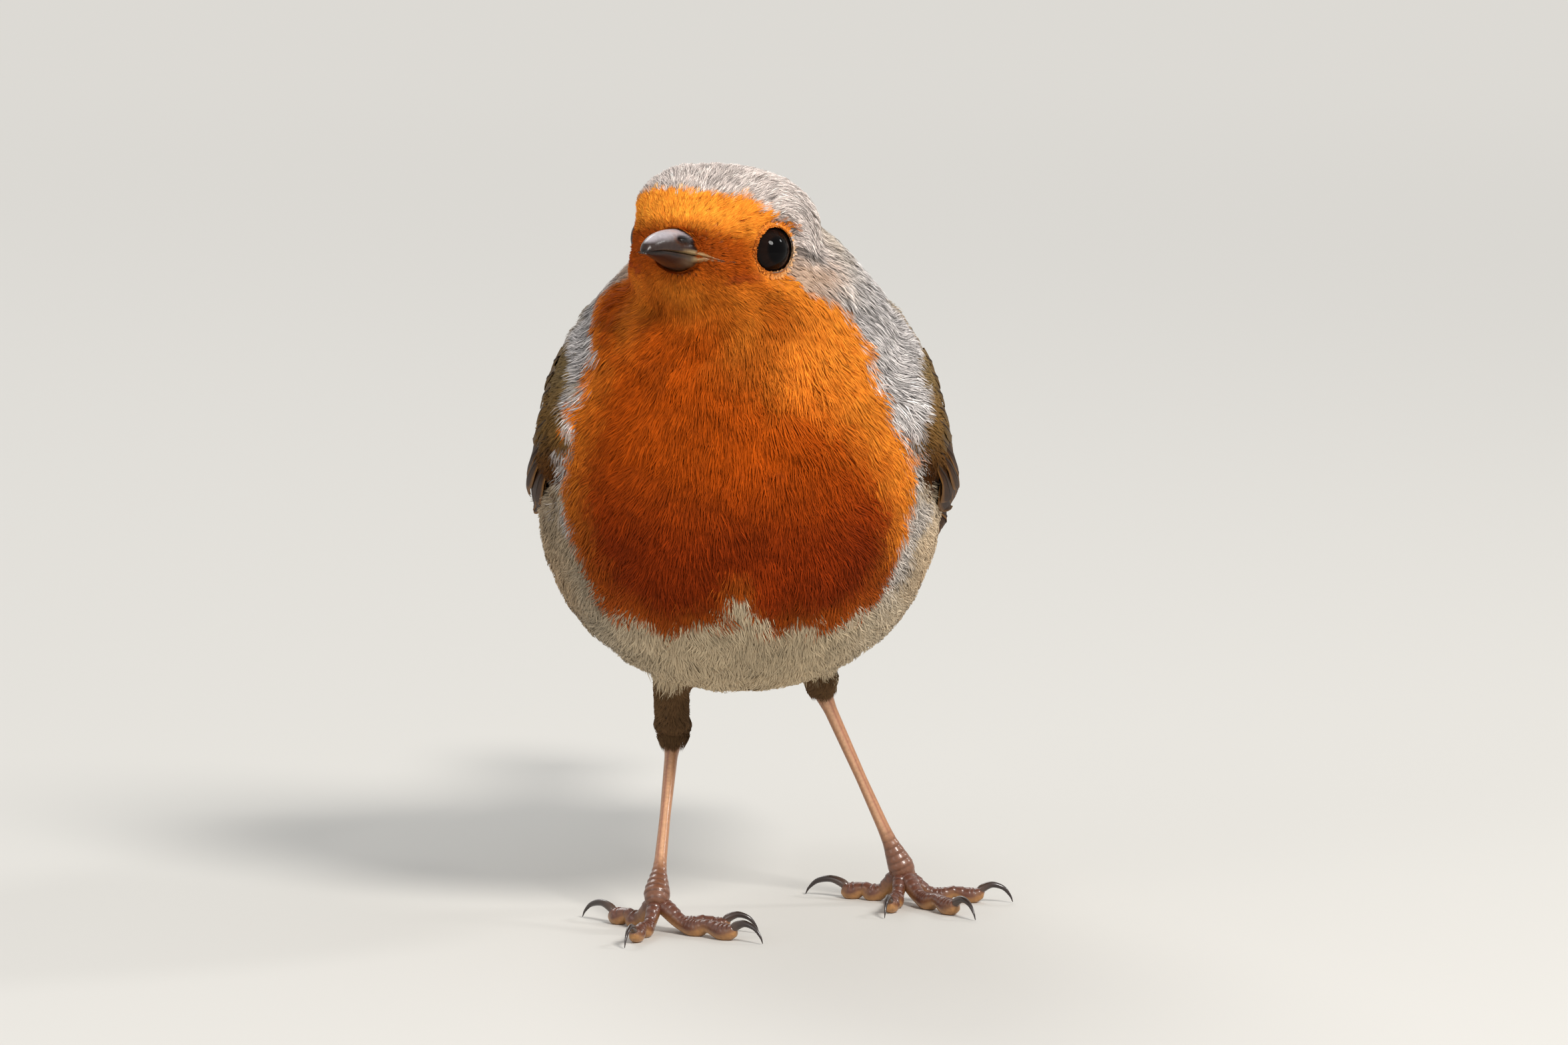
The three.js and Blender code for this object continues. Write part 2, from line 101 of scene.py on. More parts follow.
# ---------------------------------------------------------------- camera, lamps and floor
# A long lens a little above the bird's breast, a large soft lamp high in front and to one side,
# weaker ones on the other side and behind, and a plain pale floor.
CAMERA_DISTANCE = 1.6
CAMERA_RISE = math.radians(8)
FRAME_WIDTH = 0.1961  # what the picture takes in at the bird
SENSOR = 36
look_at = Vector((0.0018, -0.0296, 0.0508))
back = Vector((0, -math.cos(CAMERA_RISE), math.sin(CAMERA_RISE)))


def in_scene(name, data, place=(0, 0, 0), facing=None):
    """An object of the given data, turned to look along the opposite of facing."""
    obj = bpy.data.objects.new(name, data)
    obj.location = place
    if facing:
        obj.rotation_euler = facing.to_track_quat("Z", "Y").to_euler()
    bpy.context.collection.objects.link(obj)
    return obj


camera_data = bpy.data.cameras.new("camera")
camera_data.sensor_width = SENSOR
camera_data.lens = SENSOR * CAMERA_DISTANCE / FRAME_WIDTH
camera_data.clip_start, camera_data.clip_end = 0.05, 20
camera = in_scene("camera", camera_data, look_at + back * CAMERA_DISTANCE, back)
bpy.context.scene.camera = camera
bpy.context.scene.view_settings.view_transform = "Standard"

LAMPS = [
    # name, place, size, watts, colour
    ("lamp_front", (0.55, -0.85, 0.88), 0.38, 15.0, (1.0, 0.975, 0.94)),
    ("lamp_side", (-0.75, -0.75, 0.45), 0.6, 1.6, (0.97, 0.985, 1.0)),
    ("lamp_rear", (-0.3, 0.8, 0.8), 0.6, 4.0, (1.0, 1.0, 1.0)),
    ("lamp_window", (0.93, 0.15, 0.65), 0.18, 2.2, (1.0, 1.0, 1.0)),
]
for name, place, size, watts, colour in LAMPS:
    lamp = bpy.data.lights.new(name, "AREA")
    lamp.shape, lamp.size, lamp.energy, lamp.color = "DISK", size, watts, colour
    in_scene(name, lamp, place, Vector(place) - look_at)


def node_tree(material_or_world):
    material_or_world.use_nodes = True
    tree = material_or_world.node_tree
    tree.nodes.clear()
    return tree


def add(tree, kind, inputs=(), **settings):
    """A new shader node. Its inputs are levels, or the outputs of other nodes that feed them."""
    node = tree.nodes.new("ShaderNode" + kind)
    for name, value in settings.items():
        setattr(node, name, value)
    for name, value in dict(inputs).items():
        if isinstance(value, bpy.types.NodeSocket):
            tree.links.new(value, node.inputs[name])
        else:
            node.inputs[name].default_value = value
    return node.outputs


def seen(tree):
    """A socket that is 1 for what the camera sees, straight or through gloss and clear things."""
    rays = add(tree, "LightPath")
    total = rays["Is Camera Ray"]
    for other in ("Is Glossy Ray", "Is Transmission Ray"):
        total = add(tree, "Math", {0: total, 1: rays[other]}, operation="ADD", use_clamp=True)[0]
    return total


PALE_GROUND = (0.72, 0.70, 0.66, 1)
world = bpy.data.worlds.new("studio_air")
bpy.context.scene.world = world
tree = node_tree(world)
air = add(tree, "Background", {"Color": (0.93, 0.96, 1.0, 1), "Strength": 0.5})
pale = add(tree, "Background", {"Color": PALE_GROUND, "Strength": 1.0})
mixed = add(tree, "MixShader", {0: seen(tree), 1: air[0], 2: pale[0]})
add(tree, "OutputWorld", {"Surface": mixed[0]})

FLOOR_REACH = 9.0
floor_mesh = bpy.data.meshes.new("studio_floor")
bm = bmesh.new()
bmesh.ops.create_grid(bm, x_segments=6, y_segments=6, size=FLOOR_REACH)
bm.to_mesh(floor_mesh)
bm.free()
floor_paint = bpy.data.materials.new("floor_paint")
tree = node_tree(floor_paint)
near = {"Base Color": (0.62, 0.60, 0.56, 1), "Roughness": 0.85, "Specular IOR Level": 0.2}
near = add(tree, "BsdfPrincipled", near)
# Beyond the bird's shadow the floor runs out into the same pale ground as the air.
far = add(tree, "Emission", {"Color": PALE_GROUND})
distance = add(tree, "VectorMath", {0: add(tree, "TexCoord")["Object"]}, operation="LENGTH")
fade = {"Value": distance["Value"], "From Min": 0.3, "From Max": 1.0}
fade = add(tree, "MapRange", fade, interpolation_type="SMOOTHSTEP")
far_seen = add(tree, "Math", {0: fade["Result"], 1: seen(tree)}, operation="MULTIPLY")
mixed = add(tree, "MixShader", {0: far_seen[0], 1: near[0], 2: far[0]})
add(tree, "OutputMaterial", {"Surface": mixed[0]})
floor_mesh.materials.append(floor_paint)
in_scene("studio_floor", floor_mesh)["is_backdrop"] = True

# ---------------------------------------------------------------- skin
# One skin over the head, neck, trunk, thighs and wing arms. The feathered outline is closed over
# the solids first, and the skin is that outline drawn in by the depth of the coat. Round each eye
# it forms the socket and a low ring of bare lid.
WING_ARMS = ["wing_right_coverts", "wing_left_coverts"]
FLESH = ["head", "neck", "trunk", "thigh_right", "thigh_left"] + WING_ARMS
VOXEL = 0.55  # mm
GROW = 0.25  # mm, closes the clearances between the solids
SOFTEN_ROUNDS = 16
# Flesh at the root of the bill, which the solids leave clear: a ball in the head's frame, mm.
BILL_ROOT, BILL_ROOT_RADII = np.array([0.0, -6.6, -0.9]), np.array([5.2, 5.7, 4.3])
BILL_FOOT = np.array([0.0, -8.5, -0.8])  # mm, in the head's frame, where the bill leaves the face
EYEBALL = 3.6  # mm, radius
EYE_SINK = 0.45  # mm, how much deeper the ball lies than its solid
LID_OPENING = 2.5  # mm, radius of the opening between the lids
LID_RISE = 0.34  # mm, how far the lid stands up round the opening
SOCKET_GAP = 0.55  # mm, between the ball and the socket behind it
BREAST_MIDDLE = 0.3  # mm, the middle line of the breast
BODY_COAT, HEAD_COAT, THIGH_COAT, LID_COAT = 1.55, 1.0, 0.45, 0.3  # mm, depth of the coat
ELSEWHERE = 99.0  # mm, the distance given for places that are not in front of any eye
rng = np.random.default_rng(1857)


def smooth_step(low, high, value):
    t = np.clip((value - low) / (high - low), 0, 1)
    return t * t * (3 - 2 * t)


def hill(value, middle, width):
    """1 at the middle, falling away smoothly on both sides."""
    return np.exp(-(((value - middle) / width) ** 2))


def unit(vectors):
    return vectors / np.maximum(np.linalg.norm(vectors, axis=-1, keepdims=True), 1e-9)


def places_and_faces(bm):
    places = np.array([v.co for v in bm.verts])
    faces = np.array([[v.index for v in f.verts] for f in bm.faces])
    bm.free()
    return places, faces


def flesh_copy(node):
    """A closed copy of a solid, a little fatter, as corner places in mm and triangles."""
    bm = bmesh.new()
    bm.from_mesh(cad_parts[node].data)
    bmesh.ops.remove_doubles(bm, verts=bm.verts, dist=1e-6)
    bm.normal_update()
    outward = np.array([v.normal for v in bm.verts])
    places, faces = places_and_faces(bm)
    return places / MM - bird_place + GROW * outward, faces


def joined(shapes):
    """Several shapes as one: all their corner places, and all their triangles."""
    firsts = np.cumsum([0] + [len(places) for places, _ in shapes])
    faces = [faces + first for (_, faces), first in zip(shapes, firsts)]
    return np.concatenate([places for places, _ in shapes]), np.concatenate(faces)


def finder_on(places, faces):
    """A tree that finds the nearest place on a shape."""
    return BVHTree.FromPolygons(places.tolist(), faces.tolist())


bm = bmesh.new()
bmesh.ops.create_icosphere(bm, subdivisions=4, radius=1)
ball, ball_faces = places_and_faces(bm)
shapes = [(from_head(ball * BILL_ROOT_RADII + BILL_ROOT), ball_faces)]
places, faces = joined(shapes + [flesh_copy(node) for node in FLESH])
rough = bpy.data.meshes.new("flesh")
rough.from_pydata(places, [], faces)
shaped = in_scene("flesh", rough)
closing = shaped.modifiers.new("closing", "REMESH")
closing.mode, closing.voxel_size = "VOXEL", VOXEL
softening = shaped.modifiers.new("softening", "SMOOTH")
softening.factor, softening.iterations = 0.5, SOFTEN_ROUNDS
graph = bpy.context.evaluated_depsgraph_get()
form = bpy.data.meshes.new_from_object(shaped.evaluated_get(graph), depsgraph=graph)
bpy.data.objects.remove(shaped)

# Only the outer shell is kept, so that no closed pocket is left inside it.
bm = bmesh.new()
bm.from_mesh(form)
unseen, shells = set(bm.verts), []
while unseen:
    front = {unseen.pop()}
    shells.append(front)
    while front:
        front = {edge.other_vert(vertex) for vertex in front for edge in vertex.link_edges} & unseen
        unseen -= front
        shells[-1] = shells[-1] | front
for shell in sorted(shells, key=len)[:-1]:
    bmesh.ops.delete(bm, geom=list(shell), context="VERTS")
bmesh.ops.triangulate(bm, faces=bm.faces)
bm.to_mesh(form)
bm.free()


def places_of(mesh):
    flat = np.empty(len(mesh.vertices) * 3)
    mesh.vertices.foreach_get("co", flat)
    return flat.reshape(-1, 3)


def gathered(on_faces):
    """The sum at each corner place of what its faces hold."""
    total = np.zeros_like(form_places)
    for k in range(3):
        np.add.at(total, form_corners[:, k], on_faces)
    return total


form_places = places_of(form)
form_corners = np.empty(len(form.loops), dtype=np.int64)
form.loops.foreach_get("vertex_index", form_corners)
form_corners = form_corners.reshape(-1, 3)
across = form_places[form_corners]
face_out = np.cross(across[:, 1] - across[:, 0], across[:, 2] - across[:, 0])
face_area = np.linalg.norm(face_out, axis=1) / 2
form_out = gathered(face_out)
for softer in range(3):
    form_out = gathered(unit(form_out)[form_corners].mean(axis=1))
form_out = unit(form_out)
face_out = unit(form_out[form_corners].mean(axis=1))

SIDES = {"right": -1, "left": 1}
EYES, EYE_AXES = {}, {}
for side, sign in SIDES.items():
    axis = np.array([sign * math.sin(EYE_BEARING), -math.cos(EYE_BEARING), 0.05])
    EYE_AXES[side] = unit(head_turn @ axis)
    EYES[side] = middle_of(f"eye_{side}") - bird_place - EYE_SINK * EYE_AXES[side]


def near_eye(places):
    """For each place, how far it is from the nearer eye's axis and out along that axis, mm."""
    reach = np.full(len(places), ELSEWHERE)
    along = np.zeros(len(places))
    for side, middle in EYES.items():
        apart = places - middle
        out = apart @ EYE_AXES[side]
        radial = np.linalg.norm(apart - out[:, None] * EYE_AXES[side], axis=1)
        radial = np.where(out > 0, radial, ELSEWHERE)
        closer = radial < reach
        reach = np.where(closer, radial, reach)
        along = np.where(closer, out, along)
    return reach, along


def bill_reach(places):
    """Distance of each place from the foot of the bill, mm."""
    return np.linalg.norm(to_head(places) - BILL_FOOT, axis=1)


def headness(places):
    """1 on the head, 0 on the body below the neck."""
    apart = np.linalg.norm(places - HEAD_MIDDLE, axis=1)
    return 1 - smooth_step(12.5, 18.0, apart)


def thighness(places):
    low = 1 - smooth_step(28.6, 30.6, places[:, 2])
    return low * smooth_step(2.0, 6.0, places[:, 1])


wing_arms = finder_on(*joined([flesh_copy(node) for node in WING_ARMS]))


def wingness(places):
    """1 on the arm of the folded wing, 0 off it."""
    off = np.zeros(len(places))
    x, y, z = places.T
    # only the places in a box round the arms are looked up
    near = (np.abs(x) > 12) & (np.abs(y - 10) < 26) & (np.abs(z - 64) < 17)
    for k in np.flatnonzero(near):
        spot, way, _, apart = wing_arms.find_nearest(Vector(places[k]))
        off[k] = apart if (Vector(places[k]) - spot).dot(way) > 0 else -apart
    return np.where(near, 1 - smooth_step(0.5, 1.2, off), 0.0)


def coat_depth(places):
    """How far the coat stands off the skin, mm."""
    depth = BODY_COAT + (HEAD_COAT - BODY_COAT) * headness(places)
    depth = depth - 0.65 * (1 - smooth_step(2.0, 13.0, bill_reach(places)))
    depth = depth + 0.7 * wingness(places) * smooth_step(2.0, 8.0, places[:, 1])
    depth = np.where(thighness(places) > 0.5, THIGH_COAT, depth)
    by_eye = 1 - smooth_step(3.0, 6.0, near_eye(places)[0])
    return depth * (1 - by_eye) + LID_COAT * by_eye


# The unwrap of the skin, on which each tuft also finds its place.
skin = in_scene("skin", form)
bpy.context.view_layer.objects.active = skin
skin.select_set(True)
bpy.ops.object.mode_set(mode="EDIT")
bpy.ops.mesh.select_all(action="SELECT")
bpy.ops.uv.smart_project(angle_limit=math.radians(66), island_margin=0.004)
bpy.ops.object.mode_set(mode="OBJECT")
form.uv_layers[0].name = "OFBake"
form_unwrap = np.empty(len(form.loops) * 2)
form.uv_layers[0].data.foreach_get("uv", form_unwrap)
form_unwrap = form_unwrap.reshape(-1, 3, 2)


def linear(red, green, blue):
    """A colour from its 0 to 255 screen values."""
    value = np.array([red, green, blue]) / 255
    return np.where(value <= 0.04045, value / 12.92, ((value + 0.055) / 1.055) ** 2.4)


def painted(colour, *coats):
    """A colour with others laid over it in turn, each with its share at every place."""
    for tone, share in coats:
        colour = colour + (tone - colour) * np.asarray(share)[:, None]
    return colour


# forehead: the bird's orange painted brighter on top of the face, as painted light from above
FOREHEAD_LIT_ORANGE = linear(255, 160, 52)
LORE_ORANGE = linear(162, 74, 22)
# throat: the bird's orange painted a little darker, as painted shade under the head
THROAT_SHADED_ORANGE = linear(158, 68, 6)
BREAST_ORANGE = linear(172, 72, 6)
# low breast: a deeper red in the bird, painted darker still as shade low on the body
LOW_BREAST_SHADED_RED = linear(130, 44, 4)
EDGE_ORANGE = linear(236, 142, 44)
CHEEK_BUFF = linear(190, 142, 92)
BAND_GREY = linear(196, 189, 185)
# crown: partly the bird's grey, partly painted sheen that makes it paler than olive-brown
CROWN_SHEEN_GREY = linear(206, 190, 180)
NAPE_GREY = linear(156, 138, 110)
BACK_OLIVE = linear(122, 102, 68)
RUMP_OLIVE = linear(126, 108, 76)
WING_OLIVE = linear(116, 86, 46)
WING_BROWN = linear(72, 40, 12)
FLANK_GREY = linear(192, 175, 150)
FLANK_BUFF = linear(186, 150, 108)
# belly: the bird's off-white painted darker and warmer, as painted shade beneath the body
BELLY_SHADED_WHITE = linear(190, 171, 141)
THIGH_BROWN = linear(98, 73, 48)
GAPE_CREASE_SHADE = linear(132, 46, 22)
LID_GREY = linear(96, 84, 76)
SOCKET_DARK = linear(24, 18, 16)

# Half the width of the red breast at each height above the floor, mm.
BREAST_HEIGHTS = [33.0, 40.0, 45.0, 51.0, 57.0, 63.0, 68.0, 72.0, 76.0, 80.0, 86.0]
BREAST_HALVES = [12.0, 15.0, 17.2, 19.6, 21.0, 20.4, 19.0, 17.6, 16.6, 15.0, 14.0]


def inside_red(places):
    """How far each place lies inside the edge of the red face and breast, mm; outside, below 0."""
    head = to_head(places)
    x, y, height = places.T
    bearing = np.arctan2(np.abs(head[:, 0]), -head[:, 1])
    brow = 6.4 - 2.3 * smooth_step(0.5, 1.25, bearing)
    rear = 1.35 + 0.55 * smooth_step(-2.0, -6.8, head[:, 2])
    on_head = np.minimum(brow - head[:, 2], (rear - bearing) * 11.0)
    side = np.abs(x - BREAST_MIDDLE)
    halves = np.interp(height, BREAST_HEIGHTS, BREAST_HALVES)
    halves = halves - 1.8 * smooth_step(0, 8, x) * smooth_step(62, 70, height)
    edge = 41.6 + 5.0 * hill(x, -0.4, 2.2)
    edge = edge + 0.9 * np.sin(x * 0.95 + 0.4) + 2.5 * (side / 19) ** 4
    on_body = np.minimum(halves - side, height - edge)
    on_body = np.minimum(on_body, -6.0 - y + 1.2 * np.sin(height * 0.7))
    share = headness(places)
    return share * on_head + (1 - share) * on_body


def markings(places, ragged=0.0):
    """The colour of the plumage at each place. Ragged moves each place by about so many mm."""
    places = places + ragged * rng.normal(size=places.shape)
    x, y, height = places.T
    head = to_head(places)
    head_side, head_y, head_z = np.abs(head[:, 0]), head[:, 1], head[:, 2]
    on_head = headness(places)
    on_left = smooth_step(-4, 4, x)
    side = np.abs(x - BREAST_MIDDLE)
    inside = inside_red(places)
    # the red parts
    # painted highlights: the chin and the malar patches are brighter orange, as if lit
    chin = on_head * hill(head[:, 0], 0, 4.5) * hill(head_z, -5.6, 2.4)
    malar_highlight = on_head * smooth_step(-2.5, -5.0, head_z) * hill(head_side, 7.0, 2.2)
    lore = hill(head_z, -0.6, 2.2) * on_head * smooth_step(9.0, 2.0, bill_reach(places))
    # the red is paler at its edge all round; on the bird's left it is wider and paler, as painted
    # light
    edge_width = 5.0 + 5.0 * on_left * smooth_step(56, 66, height)
    pale_edge = (1 - smooth_step(0.0, 1.0, inside / edge_width)) * smooth_step(46, 58, height)
    low_edge = (1 - smooth_step(0.0, 5.0, inside)) * smooth_step(54, 46, height)
    # a painted highlight on the bird's left side of the throat
    jowl_highlight = hill(x, 7.5, 5.0) * hill(height, 76, 4.5) * (y < 0)
    red = painted(
        THROAT_SHADED_ORANGE,
        (BREAST_ORANGE, smooth_step(82, 70, height)),
        (LOW_BREAST_SHADED_RED, smooth_step(69, 52, height)),
        (FOREHEAD_LIT_ORANGE, on_head * smooth_step(0.5, 3.5, head_z)),
        (FOREHEAD_LIT_ORANGE, 0.32 * chin * smooth_step(-4, -9, head_y)),
        (EDGE_ORANGE, 0.4 * malar_highlight),
        (LORE_ORANGE, 0.7 * lore),
        (EDGE_ORANGE, pale_edge * (0.45 + 0.4 * on_left)),
        (EDGE_ORANGE, 0.16 * low_edge),
        (EDGE_ORANGE, 0.6 * jowl_highlight),
    )
    patches = np.sin(x * 0.42 + 1.1) * np.sin(height * 0.31 + 0.05 * x**2 / 6)
    red = red * (1 + 0.12 * patches)[:, None]
    # the back and the rest of the head
    cheek = on_head * smooth_step(2.2, -1.0, head_z) * smooth_step(7.0, 3.0, head_y)
    back = (BACK_OLIVE, smooth_step(84, 72, height)), (RUMP_OLIVE, smooth_step(60, 52, height))
    crown = painted(CROWN_SHEEN_GREY, (NAPE_GREY, smooth_step(2.0, 9.0, head_y)))
    upper = painted(NAPE_GREY, *back, (crown, on_head), (CHEEK_BUFF, 0.85 * cheek))
    # the pale under parts, buff on the flanks
    under = painted(BELLY_SHADED_WHITE, (FLANK_GREY, smooth_step(9, 19, side)))
    # the bird's right side of the under parts is painted darker, as shade
    under = under * (1 - 0.44 * smooth_step(-8, -20, x))[:, None]
    buff = 0.45 * smooth_step(17, 24, side) * smooth_step(30, 42, height)
    buff = buff * (1 - 0.6 * smooth_step(44, 54, height))
    split = 46.0 + 15.0 * (1 - smooth_step(0.0, 12.0, y))
    # the folded wing, olive above and brown below
    under_edge = np.interp(y, [-13, -5, 5, 14], [57, 54, 52.5, 51])
    arm = wingness(places) * smooth_step(under_edge - 0.8, under_edge + 0.8, height)
    wing = painted(
        WING_BROWN,
        (WING_OLIVE, smooth_step(56, 64, height + 0.25 * y)),
        (BACK_OLIVE, 0.8 * smooth_step(66, 72, height)),
    )
    # the grey band beside the red: broad on the neck, narrow before the wing, down the left flank
    low_left = on_left * smooth_step(62, 54, height)
    reach_out = 0.8 + (0.6 + 2.8 * on_left) * smooth_step(61, 71, height)
    reach_out = reach_out + 5.0 * smooth_step(71, 80, height) + 1.7 * low_left
    uneven = 0.7 * np.sin(height * 0.9) + 0.5 * np.sin(height * 2.3 + y)
    outside = side - np.interp(height, BREAST_HEIGHTS, BREAST_HALVES) + uneven
    rear_edge = np.interp(height, [50, 62, 70, 75, 82, 90], [-4.0, -3.5, -5.0, -4.0, -1.0, 3.0])
    behind = y - rear_edge - 5.0 * low_left
    band = 1 - smooth_step(reach_out - 0.8, reach_out + 0.8, outside)
    band = band * (1 - smooth_step(-2.5, 2.5, behind + uneven))
    band = band * smooth_step(49, 55, height + 8 * low_left) * (1 - 0.65 * on_head)
    rest = painted(
        under,
        (FLANK_BUFF, buff),
        (upper, smooth_step(split - 2.5, split + 3.5, height)),
        (wing, arm),
        (BAND_GREY, band * (1 - 0.35 * low_left)),
    )
    # painted shade in feather creases: dark back from the eye, reddish from the gape to below it
    bearing = np.degrees(np.arctan2(head_side, -head_y))
    crease = hill(head_z, 1.5 + 0.04 * (bearing - 85), 0.55)
    crease = crease * smooth_step(78, 84, bearing) * smooth_step(112, 98, bearing) * on_head
    rest = rest * (1 - 0.75 * crease)[:, None]
    gape = hill(head_z, -3.6 + 0.05 * (bearing - 30), 0.5)
    gape = gape * smooth_step(26, 32, bearing) * smooth_step(62, 52, bearing) * on_head
    red = painted(red, (GAPE_CREASE_SHADE, 0.6 * gape))
    red_share = smooth_step(-0.25, 0.25, inside)
    return painted(rest, (red, red_share), (THIGH_BROWN, smooth_step(0.3, 0.7, thighness(places))))


def lidded(places):
    """Places near an eye moved onto its socket and lid; the others as they are."""
    places = places.copy()
    for side, middle in EYES.items():
        axis = EYE_AXES[side]
        apart = places - middle
        along = apart @ axis
        radial = apart - along[:, None] * axis
        reach = np.linalg.norm(radial, axis=1)
        near = (reach < LID_OPENING + 2.4) & (along > 0)
        ball = np.sqrt(np.maximum(EYEBALL**2 - reach**2, 0.3))
        margin = math.sqrt(EYEBALL**2 - LID_OPENING**2)
        up = radial @ (head_turn @ np.array([0.0, 0.0, 1.0])) / np.maximum(reach, 0.01)
        rim = reach - LID_OPENING
        crest = margin + LID_RISE * hill(rim, 0.3, 0.3) * (1 + 0.25 * up)
        crest = crest - 0.12 * hill(rim, 1.05, 0.3) - 0.28 * np.maximum(rim, 0)
        socket = ball - SOCKET_GAP - 0.8 * np.maximum(-rim - 0.25, 0)
        target = np.where(rim < 0, socket, crest)
        share = (1 - smooth_step(LID_OPENING + 0.9, LID_OPENING + 2.3, reach)) * near
        places += (share * (target - along))[:, None] * axis
    return places


skin_places = form_places - form_out * coat_depth(form_places)[:, None]
form.vertices.foreach_set("co", skin_places.ravel())
bm = bmesh.new()
bm.from_mesh(form)
for finer in range(2):
    bm.verts.ensure_lookup_table()
    reach, along = near_eye(np.array([v.co for v in bm.verts]))
    close_by = (reach < LID_OPENING + 2.0) & (along > 0)
    edges = [e for e in bm.edges if close_by[e.verts[0].index] and close_by[e.verts[1].index]]
    bmesh.ops.subdivide_edges(bm, edges=edges, cuts=1, use_grid_fill=True)
    bmesh.ops.triangulate(bm, faces=[f for f in bm.faces if len(f.verts) > 3])
    bm.verts.index_update()
bm.to_mesh(form)
bm.free()
skin_places = lidded(places_of(form))


def paleness(places):
    """1 where the coat is of pale separate barbs over dark down: the crown and the grey bands."""
    colour = markings(places)
    grey = 1 - (colour.max(axis=1) - colour.min(axis=1)) / colour.max(axis=1)
    pale = smooth_step(0.5, 0.78, grey) * smooth_step(0.25, 0.5, colour[:, 1])
    return pale * smooth_step(38, 46, places[:, 2])


def finished(mesh, colours):
    """Stores a colour for each corner place of a mesh and smooths its faces."""
    attribute = mesh.attributes.new("tone", "FLOAT_COLOR", "POINT")
    attribute.data.foreach_set("color", np.insert(colours, 3, 1, axis=1).ravel())
    mesh.polygons.foreach_set("use_smooth", np.ones(len(mesh.polygons), dtype=bool))
    mesh.update()


# skin painted darker than the coat over it, as shade, and darker under pale barbs for dark down
under_coat_shade = 0.62 + 0.22 * headness(skin_places) - 0.38 * paleness(skin_places)
reach, along = near_eye(skin_places)
skin_colours = painted(
    markings(skin_places) * under_coat_shade[:, None],
    (LID_GREY, 1 - smooth_step(LID_OPENING + 0.25, LID_OPENING + 0.5, reach)),
    (SOCKET_DARK, 1 - smooth_step(LID_OPENING - 0.1, LID_OPENING + 0.12, reach)),
)
form.vertices.foreach_set("co", to_scene(skin_places).ravel())
finished(form, skin_colours)


def surface_finish(name, roughness, grain, depth, shift=0.12, coat=0.0, ior=1.45):
    """Painted colour with a fine mottle, and a grain that is bumped and sized in metres."""
    finish = bpy.data.materials.new(name)
    tree = node_tree(finish)
    spots = {"Vector": add(tree, "TexCoord")["Object"], "Scale": 1 / grain, "Detail": 3}
    mottle = add(tree, "TexNoise", spots)["Fac"]
    levels = {"From Min": 0.3, "From Max": 0.7, "To Min": 1 - shift, "To Max": 1 + shift}
    level = add(tree, "MapRange", {"Value": mottle, **levels})
    tone = add(tree, "Attribute", attribute_name="tone")["Color"]
    tone = add(tree, "VectorMath", {0: tone, "Scale": level["Result"]}, operation="SCALE")
    bump = add(tree, "Bump", {"Strength": 0.6, "Distance": depth, "Height": mottle})
    shader = {"Base Color": tone["Vector"], "Normal": bump["Normal"], "Roughness": roughness}
    shader |= {"IOR": ior, "Coat Weight": coat, "Coat Roughness": 0.12}
    add(tree, "OutputMaterial", {"Surface": add(tree, "BsdfPrincipled", shader)["BSDF"]})
    return finish


form.materials.clear()
form.materials.append(surface_finish("bare_skin", 0.7, 0.0006, 0.0001))
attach(skin, "root")
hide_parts(*FLESH)

# ---------------------------------------------------------------- eyes
# Two glossy dark balls in their sockets: black pupil, dark brown iris, and a cornea that stands a
# little proud of the ball, clear and wet.
CORNEA_RISE = 0.22  # mm
PUPIL = 1.55  # mm, radius
IRIS = 2.6
EYE_ROWS, EYE_AROUND = 56, 64
PUPIL_BLACK = linear(4, 3, 4)
IRIS_BROWN = linear(24, 13, 9)
RIM_BROWN = linear(14, 10, 9)
eye_gloss = surface_finish("eye_gloss", 0.03, 0.0004, 0.0, shift=0.04, ior=1.17)


def piece(name, shape, colours, finish, slot, *nodes, **maps):
    """A piece of the bird: its shape (places in mm and triangles), colours, finish and maps."""
    corners, faces = shape
    mesh = bpy.data.meshes.new(name)
    mesh.vertices.add(len(corners))
    mesh.vertices.foreach_set("co", to_scene(corners).ravel())
    mesh.loops.add(faces.size)
    mesh.loops.foreach_set("vertex_index", faces.ravel().astype(np.int32))
    mesh.polygons.add(len(faces))
    mesh.polygons.foreach_set("loop_start", np.arange(0, faces.size, 3, dtype=np.int32))
    mesh.update(calc_edges=True)
    finished(mesh, colours)
    for map_name, spots in maps.items():
        layer = mesh.uv_layers.new(name=map_name)
        layer.data.foreach_set("uv", spots[faces.ravel()].ravel())
    mesh.materials.append(finish)
    obj = in_scene(name, mesh)
    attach(obj, "root")
    if nodes:
        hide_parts(*nodes)


def turned_outward(corners, faces):
    """A closed shape, with its faces all turned over if they point inward."""
    a, b, c = (corners[faces[:, k]] for k in range(3))
    volume = np.einsum("ij,ij->", a - corners.mean(axis=0), np.cross(b - a, c - a))
    return corners, faces if volume > 0 else faces[:, ::-1]


def tube(rings, ends, around):
    """The shape of a tube of rings, closed by one corner before and one after them."""
    corners = np.concatenate([rings.reshape(-1, 3), ends])
    ring = np.arange(around)
    following = (ring + 1) % around
    last = len(corners) - 2 - around
    faces = []
    for first in range(0, last, around):
        a, b = first + ring, first + following
        faces += [(a, b, b + around), (a, b + around, a + around)]
    start, end = (np.full(around, last + around + k) for k in (0, 1))
    faces += [(start, following, ring), (end, last + ring, last + following)]
    return turned_outward(corners, np.concatenate([np.stack(three, axis=1) for three in faces]))


def frame_on(axis):
    """Two unit directions square to an axis."""
    flat = unit(np.cross(axis, [0.0, 0.0, 1.0]))
    return flat, np.cross(flat, axis)


def turns(many):
    return np.linspace(0, 2 * math.pi, many, endpoint=False)


def round_about(first, second, turn):
    """The directions at each turn from the first of two square directions towards the second."""
    return np.cos(turn)[:, None] * first + np.sin(turn)[:, None] * second


